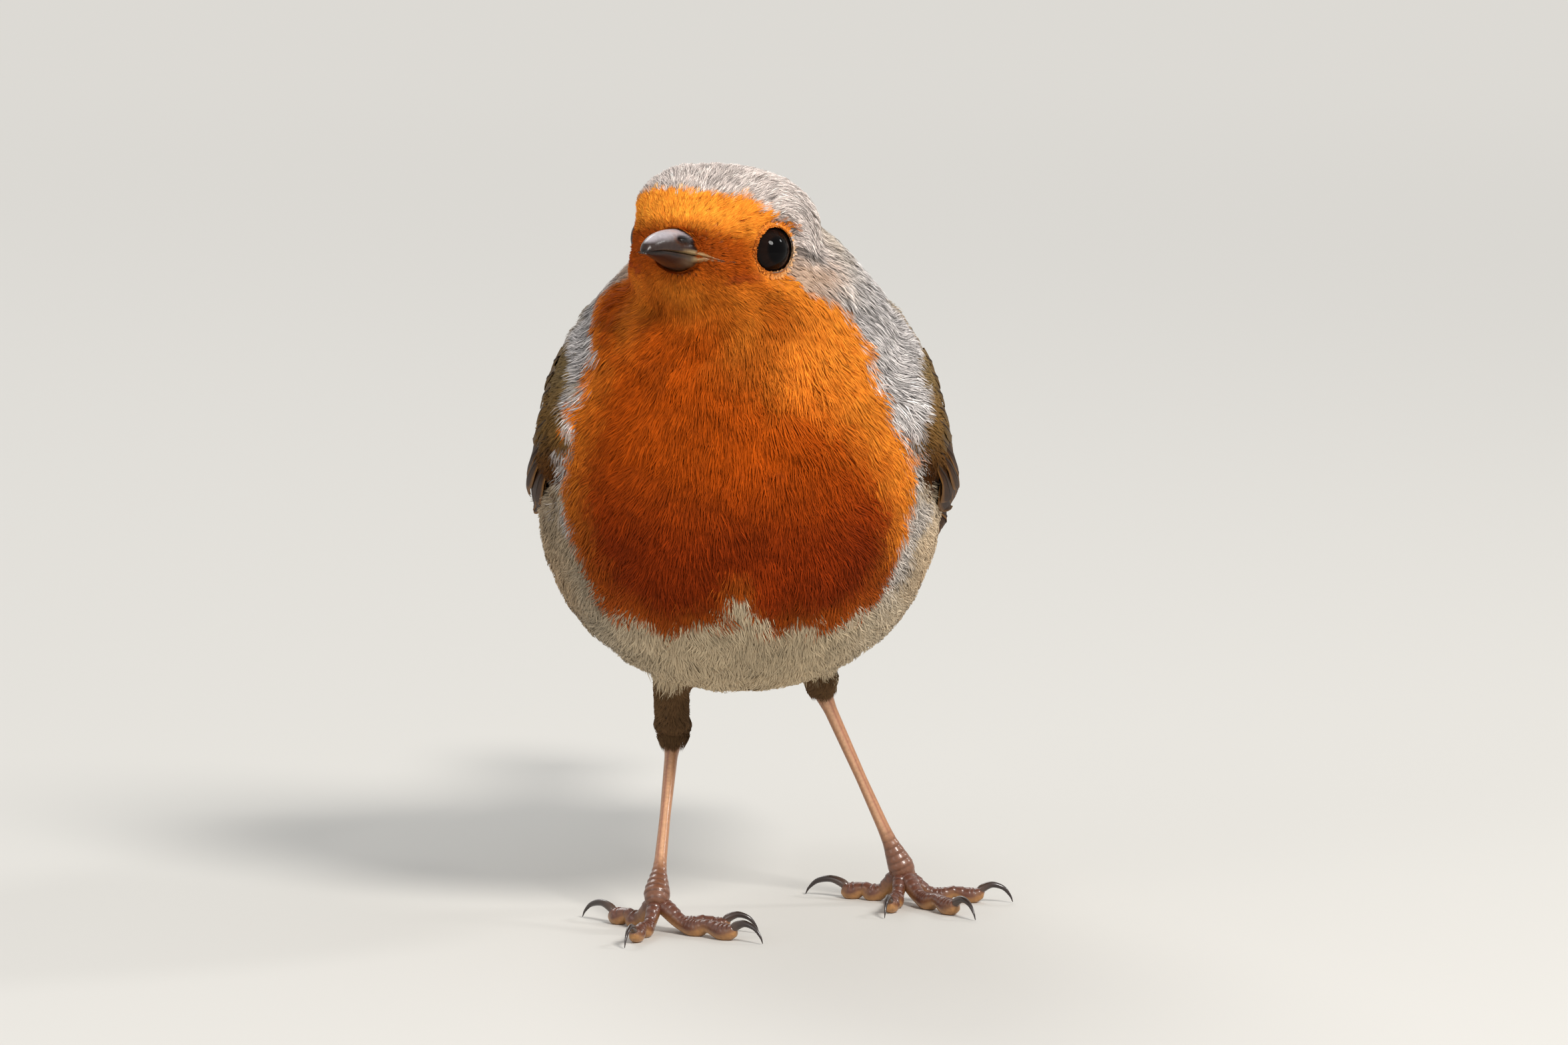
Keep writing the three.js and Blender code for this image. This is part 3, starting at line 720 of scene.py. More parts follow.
for side, middle in EYES.items():
    axis = EYE_AXES[side]
    bend = np.linspace(0.02, math.pi - 0.02, EYE_ROWS)
    bend, turn = (part.ravel() for part in np.meshgrid(bend, turns(EYE_AROUND), indexing="ij"))
    reach, along = EYEBALL * np.sin(bend), EYEBALL * np.cos(bend)
    along += CORNEA_RISE * (1 - smooth_step(0.6, 2.9, reach)) * (along > 0)
    rings = reach[:, None] * round_about(*frame_on(axis), turn)
    rings = middle + along[:, None] * axis + rings
    ends = [middle + (EYEBALL + CORNEA_RISE) * axis, middle - EYEBALL * axis]
    reach, turn = np.append(reach, [0, 0]), np.append(turn, [0, 0])
    streaks = 1 + 0.25 * np.sin(turn * 23) * np.sin(turn * 11 + 1)
    colours = painted(
        PUPIL_BLACK,
        (IRIS_BROWN * streaks[:, None], smooth_step(PUPIL, PUPIL + 0.25, reach)),
        (RIM_BROWN, smooth_step(IRIS - 0.35, IRIS + 0.05, reach)),
    )
    shape = tube(rings, ends, EYE_AROUND)
    piece(f"eyeball_{side}", shape, colours, eye_gloss, "eye_gloss", f"eye_{side}")

# ---------------------------------------------------------------- bill
# Two horny sheaths over bone. The upper one has a rounded ridge and a slot of a nostril on each
# side near its root; both are yellowish along their cutting edges towards the gape.
UPPER_BILL = [
    # place along the bill, top and bottom of its section, half-width, mm
    (-6.8, -1.3, -1.3, 0),
    (-7.4, 0.2, -1.45, 3.9),
    (-9.2, 1.2, -1.45, 3.8),
    (-11.4, 1.65, -1.4, 3.2),
    (-13.8, 1.6, -1.3, 2.5),
    (-16.4, 1.25, -1.3, 1.95),
    (-18.9, 0.5, -1.4, 1.4),
    (-20.7, -0.6, -1.7, 0.8),
    (-21.5, -1.95, -2.05, 0),
]
LOWER_BILL = [
    (-6.8, -2.1, -2.1, 0),
    (-7.4, -1.3, -2.9, 3.65),
    (-9.2, -1.2, -3.3, 3.5),
    (-11.4, -1.15, -3.3, 2.9),
    (-13.8, -1.1, -3.0, 2.25),
    (-16.4, -1.1, -2.6, 1.7),
    (-18.9, -1.25, -2.2, 1.15),
    (-20.5, -1.6, -1.9, 0),
]
BILL_ROWS, BILL_AROUND = 90, 48
BILL_ROUNDNESS = 0.92  # below 1 the section is a little squarer than an ellipse
FLANGE_DEPTH, FLANGE_PROUD = 0.4, 0.24  # mm, of the soft edges that widen to the gape
NOSTRIL_DEPTH = 0.75  # mm
HOOD_RISE, RIDGE_RISE = 0.14, 0.08  # mm, of the flap over the nostril, and of the ridge
GROOVE_DEPTH = 0.12  # mm, along the side of the lower half
GAPE_ROWS = 40


def curve_through(points, shares):
    """Places on a smooth curve through points, at shares from 0 to 1 of the way along."""
    points = np.asarray(points, float)
    padded = np.concatenate([2 * points[:1] - points[1:2], points, 2 * points[-1:] - points[-2:-1]])
    spot = np.clip(shares, 0, 1) * (len(points) - 1)
    k = np.minimum(spot.astype(int), len(points) - 2)
    t = (spot - k).reshape(-1, *[1] * (points.ndim - 1))
    a, b, c, d = (padded[k + n] for n in range(4))
    bent = (2 * a - 5 * b + 4 * c - d) * t**2 + (3 * b - a - 3 * c + d) * t**3
    return (2 * b + (c - a) * t + bent) / 2


def bill_sheath(sections, waist):
    """Rings and end corners of one half of the bill in the head's frame, mm."""
    shares = 0.5 - 0.5 * np.cos(np.linspace(0.035, 1 - 0.012, BILL_ROWS) * math.pi)
    y, high, low, half = curve_through(sections, shares).T[..., None]
    middle = low + (high - low) * waist
    turn = turns(BILL_AROUND)
    waves = np.cos(turn), np.sin(turn)
    out, rise = (np.sign(wave) * np.abs(wave) ** BILL_ROUNDNESS for wave in waves)
    x = np.maximum(half, 0.04) * out
    z = middle + rise * np.where(rise > 0, high - middle, middle - low)
    rings = np.stack([x, np.broadcast_to(y, z.shape), z], axis=-1).reshape(-1, 3)
    return np.concatenate([rings, [[0, *sections[k][:2]] for k in (0, -1)]])


# The mouth line on each side, from the bill back along the face, in the head's frame.
form_tree = finder_on(form_places, form_corners)
gape_lines = {}
for sign in SIDES.values():
    steps = np.linspace(0, 1, GAPE_ROWS)[:, None]
    line = np.array([sign * 2.45, -13.6, -1.5]) * (1 - steps)
    line = line + np.array([sign * 6.3, -8.0, -1.3]) * steps
    hold = smooth_step(0.15, 0.5, steps)
    for k in range(GAPE_ROWS):
        spot, way, _, _ = form_tree.find_nearest(Vector(from_head(line[k : k + 1])[0]))
        on_face = to_head(np.array([spot - way * 0.1]))[0]
        line[k] = line[k] * (1 - hold[k]) + on_face * hold[k]
    gape_lines[sign] = line


def with_flange(sheath, mouth, closing):
    """Widens the sheath to the mouth line, and gives how far each corner was moved out."""
    x, y, z = sheath.T
    moved = np.zeros(len(sheath))
    for sign, line in gape_lines.items():
        reach = np.interp(y, line[:, 1], np.abs(line[:, 0]))
        drop = np.interp(y, line[:, 1], line[:, 2]) + 1.5
        near = hill(z, mouth + drop, FLANGE_DEPTH) * (np.sign(x) == sign)
        half = np.interp(-y, [7.4, 9.2, 11.4, 13.8], [3.75, 3.6, 3.0, 2.35])
        proud = FLANGE_PROUD - 0.5 * smooth_step(-10.6, -8.8, y)
        push = np.maximum(reach + proud - half, 0) * smooth_step(-13.8, -12.4, y)
        moved += push * near * np.minimum(np.abs(x) / half, 1.0)
        z += near * (drop * smooth_step(-13.8, -11.5, y) + closing * smooth_step(-13.0, -10.6, y))
    x += np.sign(x) * moved
    return moved


bill_horn = surface_finish("bill_horn", 0.3, 0.0005, 0.00004, shift=0.14, ior=1.36)
HORN = linear(44, 31, 27)
LOWER_HORN = linear(42, 29, 25)
LOWER_PALE = linear(128, 104, 78)
RIDGE_REFLECTION_GREY = linear(180, 173, 178)
NOSTRIL_SHADE = linear(10, 7, 6)
GAPE_YELLOW = linear(158, 132, 92)
HORN_BROWN = linear(96, 70, 52)
GAPE_TAN = linear(146, 98, 54)
GAPE_CORNER = linear(112, 58, 26)
BRISTLE_BROWN = linear(96, 50, 22)


def to_the_gape(y, flange):
    """The coats of colour that a sheath takes on towards the corner of the mouth."""
    return (
        (GAPE_YELLOW, 0.85 * smooth_step(0.1, 0.6, flange)),
        (GAPE_TAN, 0.85 * smooth_step(-12.9, -11.3, y)),
        (GAPE_CORNER, 0.9 * smooth_step(-11.8, -10.6, y)),
    )


def growth_lines(y):
    return 0.012 * np.sin(y * 13)


def bill_piece(half, sheath, colours):
    corners = from_head(sheath)
    shape = tube(corners[:-2], corners[-2:], BILL_AROUND)
    piece(f"bill_{half}_sheath", shape, colours, bill_horn, "bill_horn", f"bill_{half}")


upper = bill_sheath(UPPER_BILL, 0.15)
x, y, z = upper.T
nostril = hill(y, -14.4, 1.15) * hill(z, 0.5 + 0.1 * (y + 14.4), 0.45) * (np.abs(x) > 0.6)
hood = hill(y, -14.0, 1.4) * hill(z, 1.0, 0.28)
x += np.sign(x) * (HOOD_RISE * hood - NOSTRIL_DEPTH * nostril + growth_lines(y))
z += RIDGE_RISE * hill(x, 0, 0.42) * (z > -1.0)
risen = (z + 1.4) / np.interp(-y, [7, 12, 16, 19, 21], [1.6, 3.0, 2.7, 1.9, 1.0])
band = 0.5 * smooth_step(-17.0, -12.0, y) - 1.15
yellow = smooth_step(band + 0.2, band - 0.15, z) * smooth_step(-20.0, -13.0, y)
colours = painted(
    HORN,
    # a painted reflection: the top of the upper half is pale grey towards the tip
    (RIDGE_REFLECTION_GREY, 0.8 * smooth_step(0.55, 1.0, risen) * smooth_step(-9.5, -13.5, y)),
    (HORN_BROWN, 0.6 * smooth_step(-13, -9, y) * smooth_step(0.2, 0.8, risen)),
    (GAPE_YELLOW, 0.85 * yellow),
    # painted shade inside the nostril
    (NOSTRIL_SHADE, np.clip(1.6 * nostril, 0, 1)),
)
colours = painted(colours, *to_the_gape(y, with_flange(upper, -1.2, -0.26)))
# painted shade along the line where the two halves close
mouth_shadow = smooth_step(-1.38, -1.5, z) * smooth_step(-9.0, -10.0, y)
bill_piece("upper", upper, colours * (1 - 0.7 * mouth_shadow)[:, None])

lower = bill_sheath(LOWER_BILL, 0.85)
x, y, z = lower.T
x += np.sign(x) * growth_lines(y)
x -= np.sign(x) * GROOVE_DEPTH * hill(z, -2.15, 0.25) * smooth_step(-16, -12, y)
pale = 0.62 * smooth_step(-16, -11, y) * smooth_step(-3.2, -2.2, z)
shadow_line = hill(z, -1.5, 0.14) * smooth_step(-9.0, -10.0, y)
colours = painted(LOWER_HORN, (LOWER_PALE, pale)) * (1 - 0.8 * shadow_line)[:, None]
bill_piece("lower", lower, painted(colours, *to_the_gape(y, with_flange(lower, -1.75, 0.24))))

# Short stiff bristles stand round the gape, as fine tapered hairs.
BRISTLES, BRISTLE_ROWS = 9, 7
BRISTLE_THICK = 0.042  # mm, radius at the root
bristles = []
for sign in SIDES.values():
    for share in np.linspace(0, 1, BRISTLES):
        root = np.array([sign * (3.5 - 0.9 * share), -9.0 - 1.4 * share, -1.6 + 2.6 * share])
        out = unit(np.array([sign * (0.75 - 0.25 * share), -0.9, -0.35 + 0.75 * share]))
        size = 3.0 - 1.0 * abs(share - 0.4) + rng.uniform(-0.3, 0.3)
        steps = np.linspace(0, 1, BRISTLE_ROWS)[:, None]
        line = root + out * steps * size
        line = line + np.array([sign * 0.1, -0.25, -0.5]) * steps**2 * size * 0.5
        radius = BRISTLE_THICK * (1 - 0.8 * steps[:, None])
        rings = line[:, None] + radius * round_about(*frame_on(out), turns(3))
        bristles.append(tube(rings, [line[0] - out * 0.05, line[-1] + out * 0.1], 3))
corners, faces = joined(bristles)
colours = np.tile(BRISTLE_BROWN, (len(corners), 1))
piece("gape_bristles", (from_head(corners), faces), colours, bill_horn, "bill_horn")

# ---------------------------------------------------------------- legs and feet
# Slim shanks and toes in thin scaled skin over tendon and bone: plates across the front, padded
# beneath, with painted shade where the plates meet. The curved claws are horn.
LEGS = {
    "right": {
        "foot": np.array([-10.0, -5.5, 4.4]),
        "ankle": np.array([-8.1, 12.6, 21.9]),
        "knee": np.array([-8.4, 7.3, 30.5]),
        "toes": {"inner": 80, "middle": 52, "outer": -16, "hind": -135},  # bearings, degrees
    },
    "left": {
        "foot": np.array([20.8, 15.5, 4.4]),
        "ankle": np.array([10.4, 14.6, 27.9]),
        "knee": np.array([10.5, 11.4, 32.0]),
        "toes": {"inner": -10, "middle": 33, "outer": 88, "hind": -115},
    },
}
TOES = {
    # length without the claw, claw along its chord, girth
    "middle": (12.6, 4.8, 1.12),
    "inner": (9.2, 4.3, 1.02),
    "outer": (10.4, 4.3, 1.0),
    "hind": (8.2, 5.8, 1.15),
}
TOE_REST = 0.85  # mm, height of a toe's middle where it lies on the floor
FLOOR_GAP = 0.02  # mm
SHANK_PLATE, TOE_PLATE = 0.95, 0.78  # mm, from one plate to the next
SHANK_RELIEF, TOE_RELIEF = 0.16, 0.13  # mm, how far the plates stand up
PAD_RELIEF = 0.1  # of a toe's girth
HEEL_OVERRUN, SOLE_OVERRUN = 1.2, 1.5  # mm, of the shank beyond the middles of its joints
SHANK_SHARES = [0, 0.07, 0.16, 0.5, 0.82, 0.94, 1]  # of the way down, where its radii are given
SHANK_RADII = [1.1, 1.45, 1.02, 0.84, 1.0, 1.75, 1.3]
TOE_RADII = np.array([1.0, 1.0, 0.84, 1.08, 0.74, 1.06, 0.62])  # for a girth of 1
TOE_BENDS = [(0.32, 0.5), (0.48, 0.05), (0.64, 0.55), (0.84, 0.05), (1, 0.5)]
CLAW_RADII = np.array([0.8, 0.86, 0.66, 0.46, 0.24, 0.08]) * 0.66
CLAW_BENDS = [(0, 0.45), (0.12, 1.0), (0.4, 1.45), (0.72, 1.05), (0.92, 0.1)]
CLAW_BENDS += [(1.0, 0.15 - TOE_REST)]  # share of the claw's chord, and height over the toe's rest
SHANK_ROWS, SHANK_AROUND = 150, 24
TOE_ROWS, TOE_AROUND = 100, 20
CLAW_ROWS, CLAW_AROUND = 40, 16
SHANK_TAN = linear(168, 116, 78)
SHANK_HIGHLIGHT = linear(220, 174, 138)
SHANK_ROSE = linear(138, 76, 56)
TOE_BROWN = linear(98, 59, 45)
CREASE_SHADE_BROWN = linear(64, 38, 30)
PAD_YELLOW = linear(178, 128, 74)
CLAW_BASE = linear(86, 66, 56)
CLAW_DARK = linear(44, 33, 30)
leg_skin = surface_finish("leg_scales", 0.36, 0.0004, 0.00005, shift=0.14, coat=0.3)
claw_horn = surface_finish("claw_horn", 0.28, 0.0005, 0.00002, shift=0.1, coat=0.4)


def limb(spots, radius, out):
    """The shape of a limb from its middle line and the radius and direction of each ring corner."""
    way = unit(np.gradient(spots, axis=0))
    rings = spots[:, None] + out * radius[:, :, None]
    ends = [spots[k] + ahead * way[k] * radius[k].mean() * 0.6 for k, ahead in ((0, -1), (-1, 1))]
    corners, faces = tube(rings, ends, radius.shape[1])
    corners[:, 2] = np.maximum(corners[:, 2], FLOOR_GAP)
    return corners, faces


def limb_rings(foot, ahead, stations, radii, rows, around):
    """Rings round a curved line over the floor: their middles, girths and ways out. Stations are
    how far ahead of the foot and how high they are, mm."""
    reach, height = np.array(stations).T[..., None]
    line = foot * [1, 1, 0] + ahead * reach + height * [0, 0, 1]
    shares = np.linspace(0, 1, rows)
    spots = curve_through(line, shares)
    way = unit(np.gradient(spots, axis=0))
    out = round_about(*frame_on(way[:, None]), turns(around))
    return spots, np.maximum(curve_through(radii, shares), 0.05), out


def capped(values, first, last, rings):
    """A value for every corner of a limb: those of its rings, then those of its two ends."""
    return np.append(np.broadcast_to(values, rings.shape), [first, last])


def scale_step(distance, pitch):
    """Saw-toothed relief of plates that each lap over the next: 0 at a crease, 1 at a free edge."""
    part = (distance / pitch) % 1.0
    return part * (1 - smooth_step(0.86, 1.0, part))


for side, leg in LEGS.items():
    foot, ankle = leg["foot"], leg["ankle"]
    way = unit(foot - ankle)
    heel, sole = ankle - HEEL_OVERRUN * way, foot + SOLE_OVERRUN * way
    fine = np.linspace(0, 1, SHANK_ROWS)
    girth = np.interp(fine, SHANK_SHARES, SHANK_RADII)
    for softer in range(8):
        girth[1:-1] = (girth[:-2] + 2 * girth[1:-1] + girth[2:]) / 4
    girth[[0, -1]] *= 0.6
    fine = fine[:, None]
    flat = unit(np.cross(way, unit(np.array([0.15 * SIDES[side], -1.0, 0.0]))))
    turn = turns(SHANK_AROUND)
    out = round_about(np.cross(flat, way), flat, turn)
    forward, aside = np.cos(turn), np.sin(turn)
    frontness = smooth_step(-0.1, 0.6, forward)
    low_shank = smooth_step(0.72, 0.86, fine)
    plates = scale_step(fine * np.linalg.norm(sole - heel), SHANK_PLATE)
    behind = 1 - 0.12 * smooth_step(0.2, 0.9, -forward) * (1 - low_shank)
    sides = 1 - 0.14 * np.abs(aside) * (1 - low_shank)
    relief = SHANK_RELIEF * (frontness * plates * low_shank - 0.25)
    radius = girth[:, None] * behind * sides + relief
    down = capped(low_shank, 0, 1, radius)
    # a painted highlight down the front of the shank
    shine = capped(smooth_step(0.75, 1.0, forward), 0, 0, radius)
    stripe = hill(aside * SIDES[side], -0.25, 0.22) * (forward > 0)
    # painted shade in the creases between the plates
    crease = (1 - smooth_step(0.0, 0.2, plates)) * low_shank * frontness
    colours = painted(
        SHANK_TAN,
        (SHANK_HIGHLIGHT, 0.7 * shine * (1 - down)),
        (SHANK_ROSE, 0.75 * capped(stripe, 0, 0, radius) * (1 - down)),
        (TOE_BROWN, 0.8 * down),
        (TOE_BROWN, 0.6 * capped(1 - smooth_step(0.0, 0.14, fine), 1, 0, radius)),
        (CREASE_SHADE_BROWN, 0.55 * capped(crease, 0, 0, radius)),
    )
    shape = limb(heel + (sole - heel) * fine, radius, out)
    piece(f"shank_{side}", shape, colours, leg_skin, "leg_skin", f"tarsus_{side}")

    for toe, (long, claw, thick) in TOES.items():
        bearing = math.radians(leg["toes"][toe])
        ahead = np.array([math.sin(bearing), -math.cos(bearing), 0.0])
        stations = [(0.4, foot[2] - 0.9), (long * 0.15, 2.7)]
        stations += [(long * share, TOE_REST + lift) for share, lift in TOE_BENDS]
        radii = TOE_RADII * thick
        spots, girth, out = limb_rings(foot, ahead, stations, radii, TOE_ROWS, TOE_AROUND)
        girth[-3:] *= [0.9, 0.75, 0.5]
        upward = out[:, :, 2]
        topness = smooth_step(0.0, 0.6, upward)
        long_way = np.linspace(0, long, TOE_ROWS)[:, None]
        plates = scale_step(long_way, TOE_PLATE)
        pads = 0.5 - 0.5 * np.cos(2 * math.pi * (long_way / (long * 0.34) - 0.35))
        beneath = smooth_step(0.1, 0.7, -upward)
        radius = girth[:, None] * (1 + PAD_RELIEF * beneath * pads)
        radius = radius + TOE_RELIEF * topness * plates - 0.07
        under = smooth_step(0.0, 0.5, -upward)
        beside = (1 - smooth_step(0.15, 0.6, np.abs(upward))) * pads
        # painted shade in the creases between the plates
        crease = (1 - smooth_step(0.0, 0.22, plates)) * topness
        coats = (PAD_YELLOW, 0.8 * under), (PAD_YELLOW, 0.25 * beside), (CREASE_SHADE_BROWN, 0.8 * crease)
        coats = [(tone, capped(share, 0, 0, radius)) for tone, share in coats]
        shape = limb(spots, radius, out)
        name = f"toe_{toe}_{side}"
        piece(name, shape, painted(TOE_BROWN, *coats), leg_skin, "leg_skin", f"toe_{side}_{toe}")

        stations = [(long - 0.6 + claw * share, TOE_REST + lift) for share, lift in CLAW_BENDS]
        radii = CLAW_RADII * thick
        spots, girth, out = limb_rings(foot, ahead, stations, radii, CLAW_ROWS, CLAW_AROUND)
        narrow = 1 - 0.2 * np.abs(np.cos(turns(CLAW_AROUND)))
        narrow = narrow - 0.15 * smooth_step(0.3, 1.0, -out[:, :, 2])
        radius = girth[:, None] * narrow
        tip = capped(np.linspace(0, 1, CLAW_ROWS)[:, None], 0, 1, radius)
        colours = painted(CLAW_BASE, (CLAW_DARK, smooth_step(0.05, 0.5, tip)))
        shape = limb(spots, radius, out)
        name = f"claw_{toe}_{side}_horn"
        piece(name, shape, colours, claw_horn, "claw_horn", f"claw_{side}_{toe}")

# ---------------------------------------------------------------- flight feathers
# Stiff vaned feathers: a horny shaft with a vane of hooked barbs on each side, narrow in front and
# broad behind, lapped like slates so that the front edge of each one shows.
VANE_ROWS, VANE_COLUMNS = 30, 11
VANE_THICKNESS = 0.09  # mm
SHAFT_THICK = 0.17  # mm, radius at the root
SHAFT_AROUND = 6
PARTING = 0.1225  # mm, how unevenly the two edges of a vane part
DARK_BROWN = linear(54, 31, 13)
EDGE_BUFF = linear(132, 90, 42)
TIP_GREY = linear(108, 82, 48)
SHAFT_BROWN = linear(52, 38, 28)
COVERT_OLIVE = linear(108, 82, 46)
TIP_BUFF = linear(142, 108, 64)


def vane(shaft, front_edge, rear_edge, colours):
    """One feather: its shape, colours and map. Shaft and edges are smooth lines of places, mm;
    colours are those of the front edge, the middle, the rear edge and the tip."""
    shares = np.linspace(0, 1, VANE_ROWS)[:, None]
    lines = (shaft, front_edge, rear_edge)
    spine, fore, aft = (curve_through(line, shares[:, 0])[:, None] for line in lines)
    across = np.linspace(-1, 1, VANE_COLUMNS)
    middle, half = (fore + aft) / 2, (fore - aft) / 2
    s = across[:, None]
    sheet = middle + s * half + (1 - s**2) * (spine - middle)
    # barbs leave the shaft towards the tip, and the vane parts a little here and there
    on = np.gradient(spine[:, 0], axis=0)
    way = unit(on)
    size = np.linalg.norm(half, axis=-1)
    sweep = np.abs(across) * size * 0.5 * (1 - smooth_step(0.45, 1.0, shares))
    sheet = sheet + way[:, None] * sweep[:, :, None]
    apart = np.linalg.norm(on, axis=1, keepdims=True)
    nick = rng.normal(0, 1, (VANE_ROWS, 2)) * PARTING * np.clip(apart / 0.6, 0, 1)
    sheet[:, 0] += way * nick[:, :1]
    sheet[:, -1] += way * nick[:, 1:]
    out = unit(np.cross(np.gradient(sheet, axis=0), np.gradient(sheet, axis=1)))
    if (out @ np.array([np.sign(sheet[:, :, 0].mean()), 0, 0.4])).mean() < 0:
        out = -out
    thick = VANE_THICKNESS * (1 - 0.6 * s**2) / 2
    corners = np.concatenate([sheet + out * thick, sheet - out * thick]).reshape(-1, 3)
    top = np.arange(VANE_ROWS * VANE_COLUMNS).reshape(VANE_ROWS, VANE_COLUMNS)
    low = top + top.size
    quads = [(top[:-1, :-1], top[:-1, 1:], top[1:, 1:], top[1:, :-1])]
    quads += [(low[:-1, :-1], low[1:, :-1], low[1:, 1:], low[:-1, 1:])]
    rim = np.concatenate([top[0], top[1:, -1], top[-1, -2::-1], top[-2:0:-1, 0]])
    ahead = np.roll(rim, -1)
    quads += [(rim, rim + top.size, ahead + top.size, ahead)]
    quads = np.concatenate([np.stack(four, axis=-1).reshape(-1, 4) for four in quads])
    faces = np.concatenate([quads[:, [0, 1, 2]], quads[:, [0, 2, 3]]])
    sheet_shape = turned_outward(corners, faces)
    front_colour, middle_colour, rear_colour, tip_colour = colours
    lateral, share = (part.ravel() for part in np.broadcast_arrays(across, shares))
    colour = painted(
        middle_colour,
        (front_colour, smooth_step(0.55, 0.95, lateral)),
        (rear_colour, smooth_step(0.75, 1.0, -lateral)),
        (tip_colour, smooth_step(0.8, 1.0, share) * 0.8),
    )
    colour = np.clip(colour * (1 + 0.06 * rng.normal(size=(top.size, 1))), 0, 1)
    # the shaft stands on the vane as a tapered ridge
    line, line_out = sheet[:, VANE_COLUMNS // 2], out[:, VANE_COLUMNS // 2, None]
    ring = round_about(unit(np.cross(line_out, way[:, None])), line_out, turns(SHAFT_AROUND))
    rings = line[:, None] + SHAFT_THICK * (1 - 0.8 * shares)[:, None] * ring
    ridge = tube(rings, [line[0] - way[0] * 0.1, line[-1] + way[-1] * 0.1], SHAFT_AROUND)
    horn = np.tile(SHAFT_BROWN, (len(ridge[0]), 1))
    # the map runs along the slanting barbs
    long = np.linalg.norm(corners[top.size - 1] - corners[0])
    spots = np.stack([share * long * 1.1 - np.abs(lateral) * 1.6, lateral], axis=1)
    spots = np.concatenate([spots, spots, np.zeros((len(horn), 2))])
    return joined([sheet_shape, ridge]), np.concatenate([colour, colour, horn]), spots


def feather_outline(shares, blunt):
    """The half-width of a vane at each share of its length, 1 at its widest."""
    rise = smooth_step(-0.1, 0.35, shares)
    fall = np.sqrt(np.clip(1 - ((shares - (1 - blunt)) / blunt) ** 2, 0, 1)) ** 0.9
    return rise * np.where(shares > 1 - blunt, fall, 1) * 0.97 + 0.03


def nearer_tip(many):
    """Shares of a feather's length that crowd towards its rounded tip."""
    return 1 - (1 - np.linspace(0, 1, many)) ** 1.6


# The vane's finish has fine slanting barbs, which follow each feather's own map.
vane_finish = surface_finish("vane_barbs", 0.5, 0.0012, 0.00001, shift=0.08, ior=1.12)
tree = vane_finish.node_tree
shader = tree.nodes["Principled BSDF"].inputs
barbs = {"Vector": add(tree, "UVMap", uv_map="vane")["UV"], "Scale": 1.0}
barbs = add(tree, "TexWave", {**barbs, "Distortion": 1.2, "Detail": 1})["Fac"]
bump = add(tree, "Bump", {"Strength": 0.5, "Distance": 0.00004, "Height": barbs})
level = add(tree, "MapRange", {"Value": barbs, "To Min": 0.84, "To Max": 1.08})["Result"]
tone = {0: shader["Base Color"].links[0].from_socket, "Scale": level}
tone = add(tree, "VectorMath", tone, operation="SCALE")
tree.links.new(tone["Vector"], shader["Base Color"])
tree.links.new(bump["Normal"], shader["Normal"])


def feathers_piece(name, feathers, slot, *nodes):
    """Joins single feathers into one piece."""
    shapes, colours, maps = zip(*feathers)
    colours, spots = np.concatenate(colours), np.concatenate(maps)
    piece(name, joined(shapes), colours, vane_finish, slot, *nodes, vane=spots)


# The tail: six pairs. The middle pair lies on top, and each one outward tucks under the last.
TAIL_ROOT = np.array([0.5, 34.5, 49.6])
TAIL_DROOP = math.radians(8)
TAIL_PAIRS = 6
TAIL_LONG = 57.0  # mm
TAIL_HALF_TIP = 8.8


def on_tail(across, back, height):
    """A place on the tail: across it, back from its root and above its arched sheet, mm."""
    z = height - 0.035 * across**2 * (1 - 0.45 * back / TAIL_LONG)
    cosine, sine = math.cos(TAIL_DROOP), math.sin(TAIL_DROOP)
    spot = np.stack([across, back * cosine + z * sine, z * cosine - back * sine], axis=-1)
    return TAIL_ROOT + spot


tail_feathers = []
stations = nearer_tip(14)
for pair in range(TAIL_PAIRS):
    for sign in SIDES.values():
        share = pair / (TAIL_PAIRS - 1)
        root_x, tip_x = sign * (0.5 + 2.2 * share), sign * (1.6 + 4.7 * share)
        back = stations * (TAIL_LONG - 1.4 * (pair == 0) - 0.8 * abs(share - 0.5))
        x = root_x + (tip_x - root_x) * stations**1.2
        half = feather_outline(stations, 0.2) * (2.7 - 0.5 * share)
        height = 0.6 - 0.17 * pair + (0.05 if sign > 0 else 0.0)
        outer = np.clip(x + sign * half * 0.72, -TAIL_HALF_TIP, TAIL_HALF_TIP)
        edges = (x, height + 0.05), (outer, height - 0.05), (x - sign * half * 1.15, height - 0.12)
        colours = COVERT_OLIVE, DARK_BROWN, DARK_BROWN * 0.8, TIP_GREY
        if pair == 0:
            colours = COVERT_OLIVE, DARK_BROWN * 1.15, COVERT_OLIVE, TIP_GREY
        tail_feathers.append(vane(*(on_tail(at, back, rise) for at, rise in edges), colours))
feathers_piece("tail_feathers", tail_feathers, "flight_plumage", "tail")

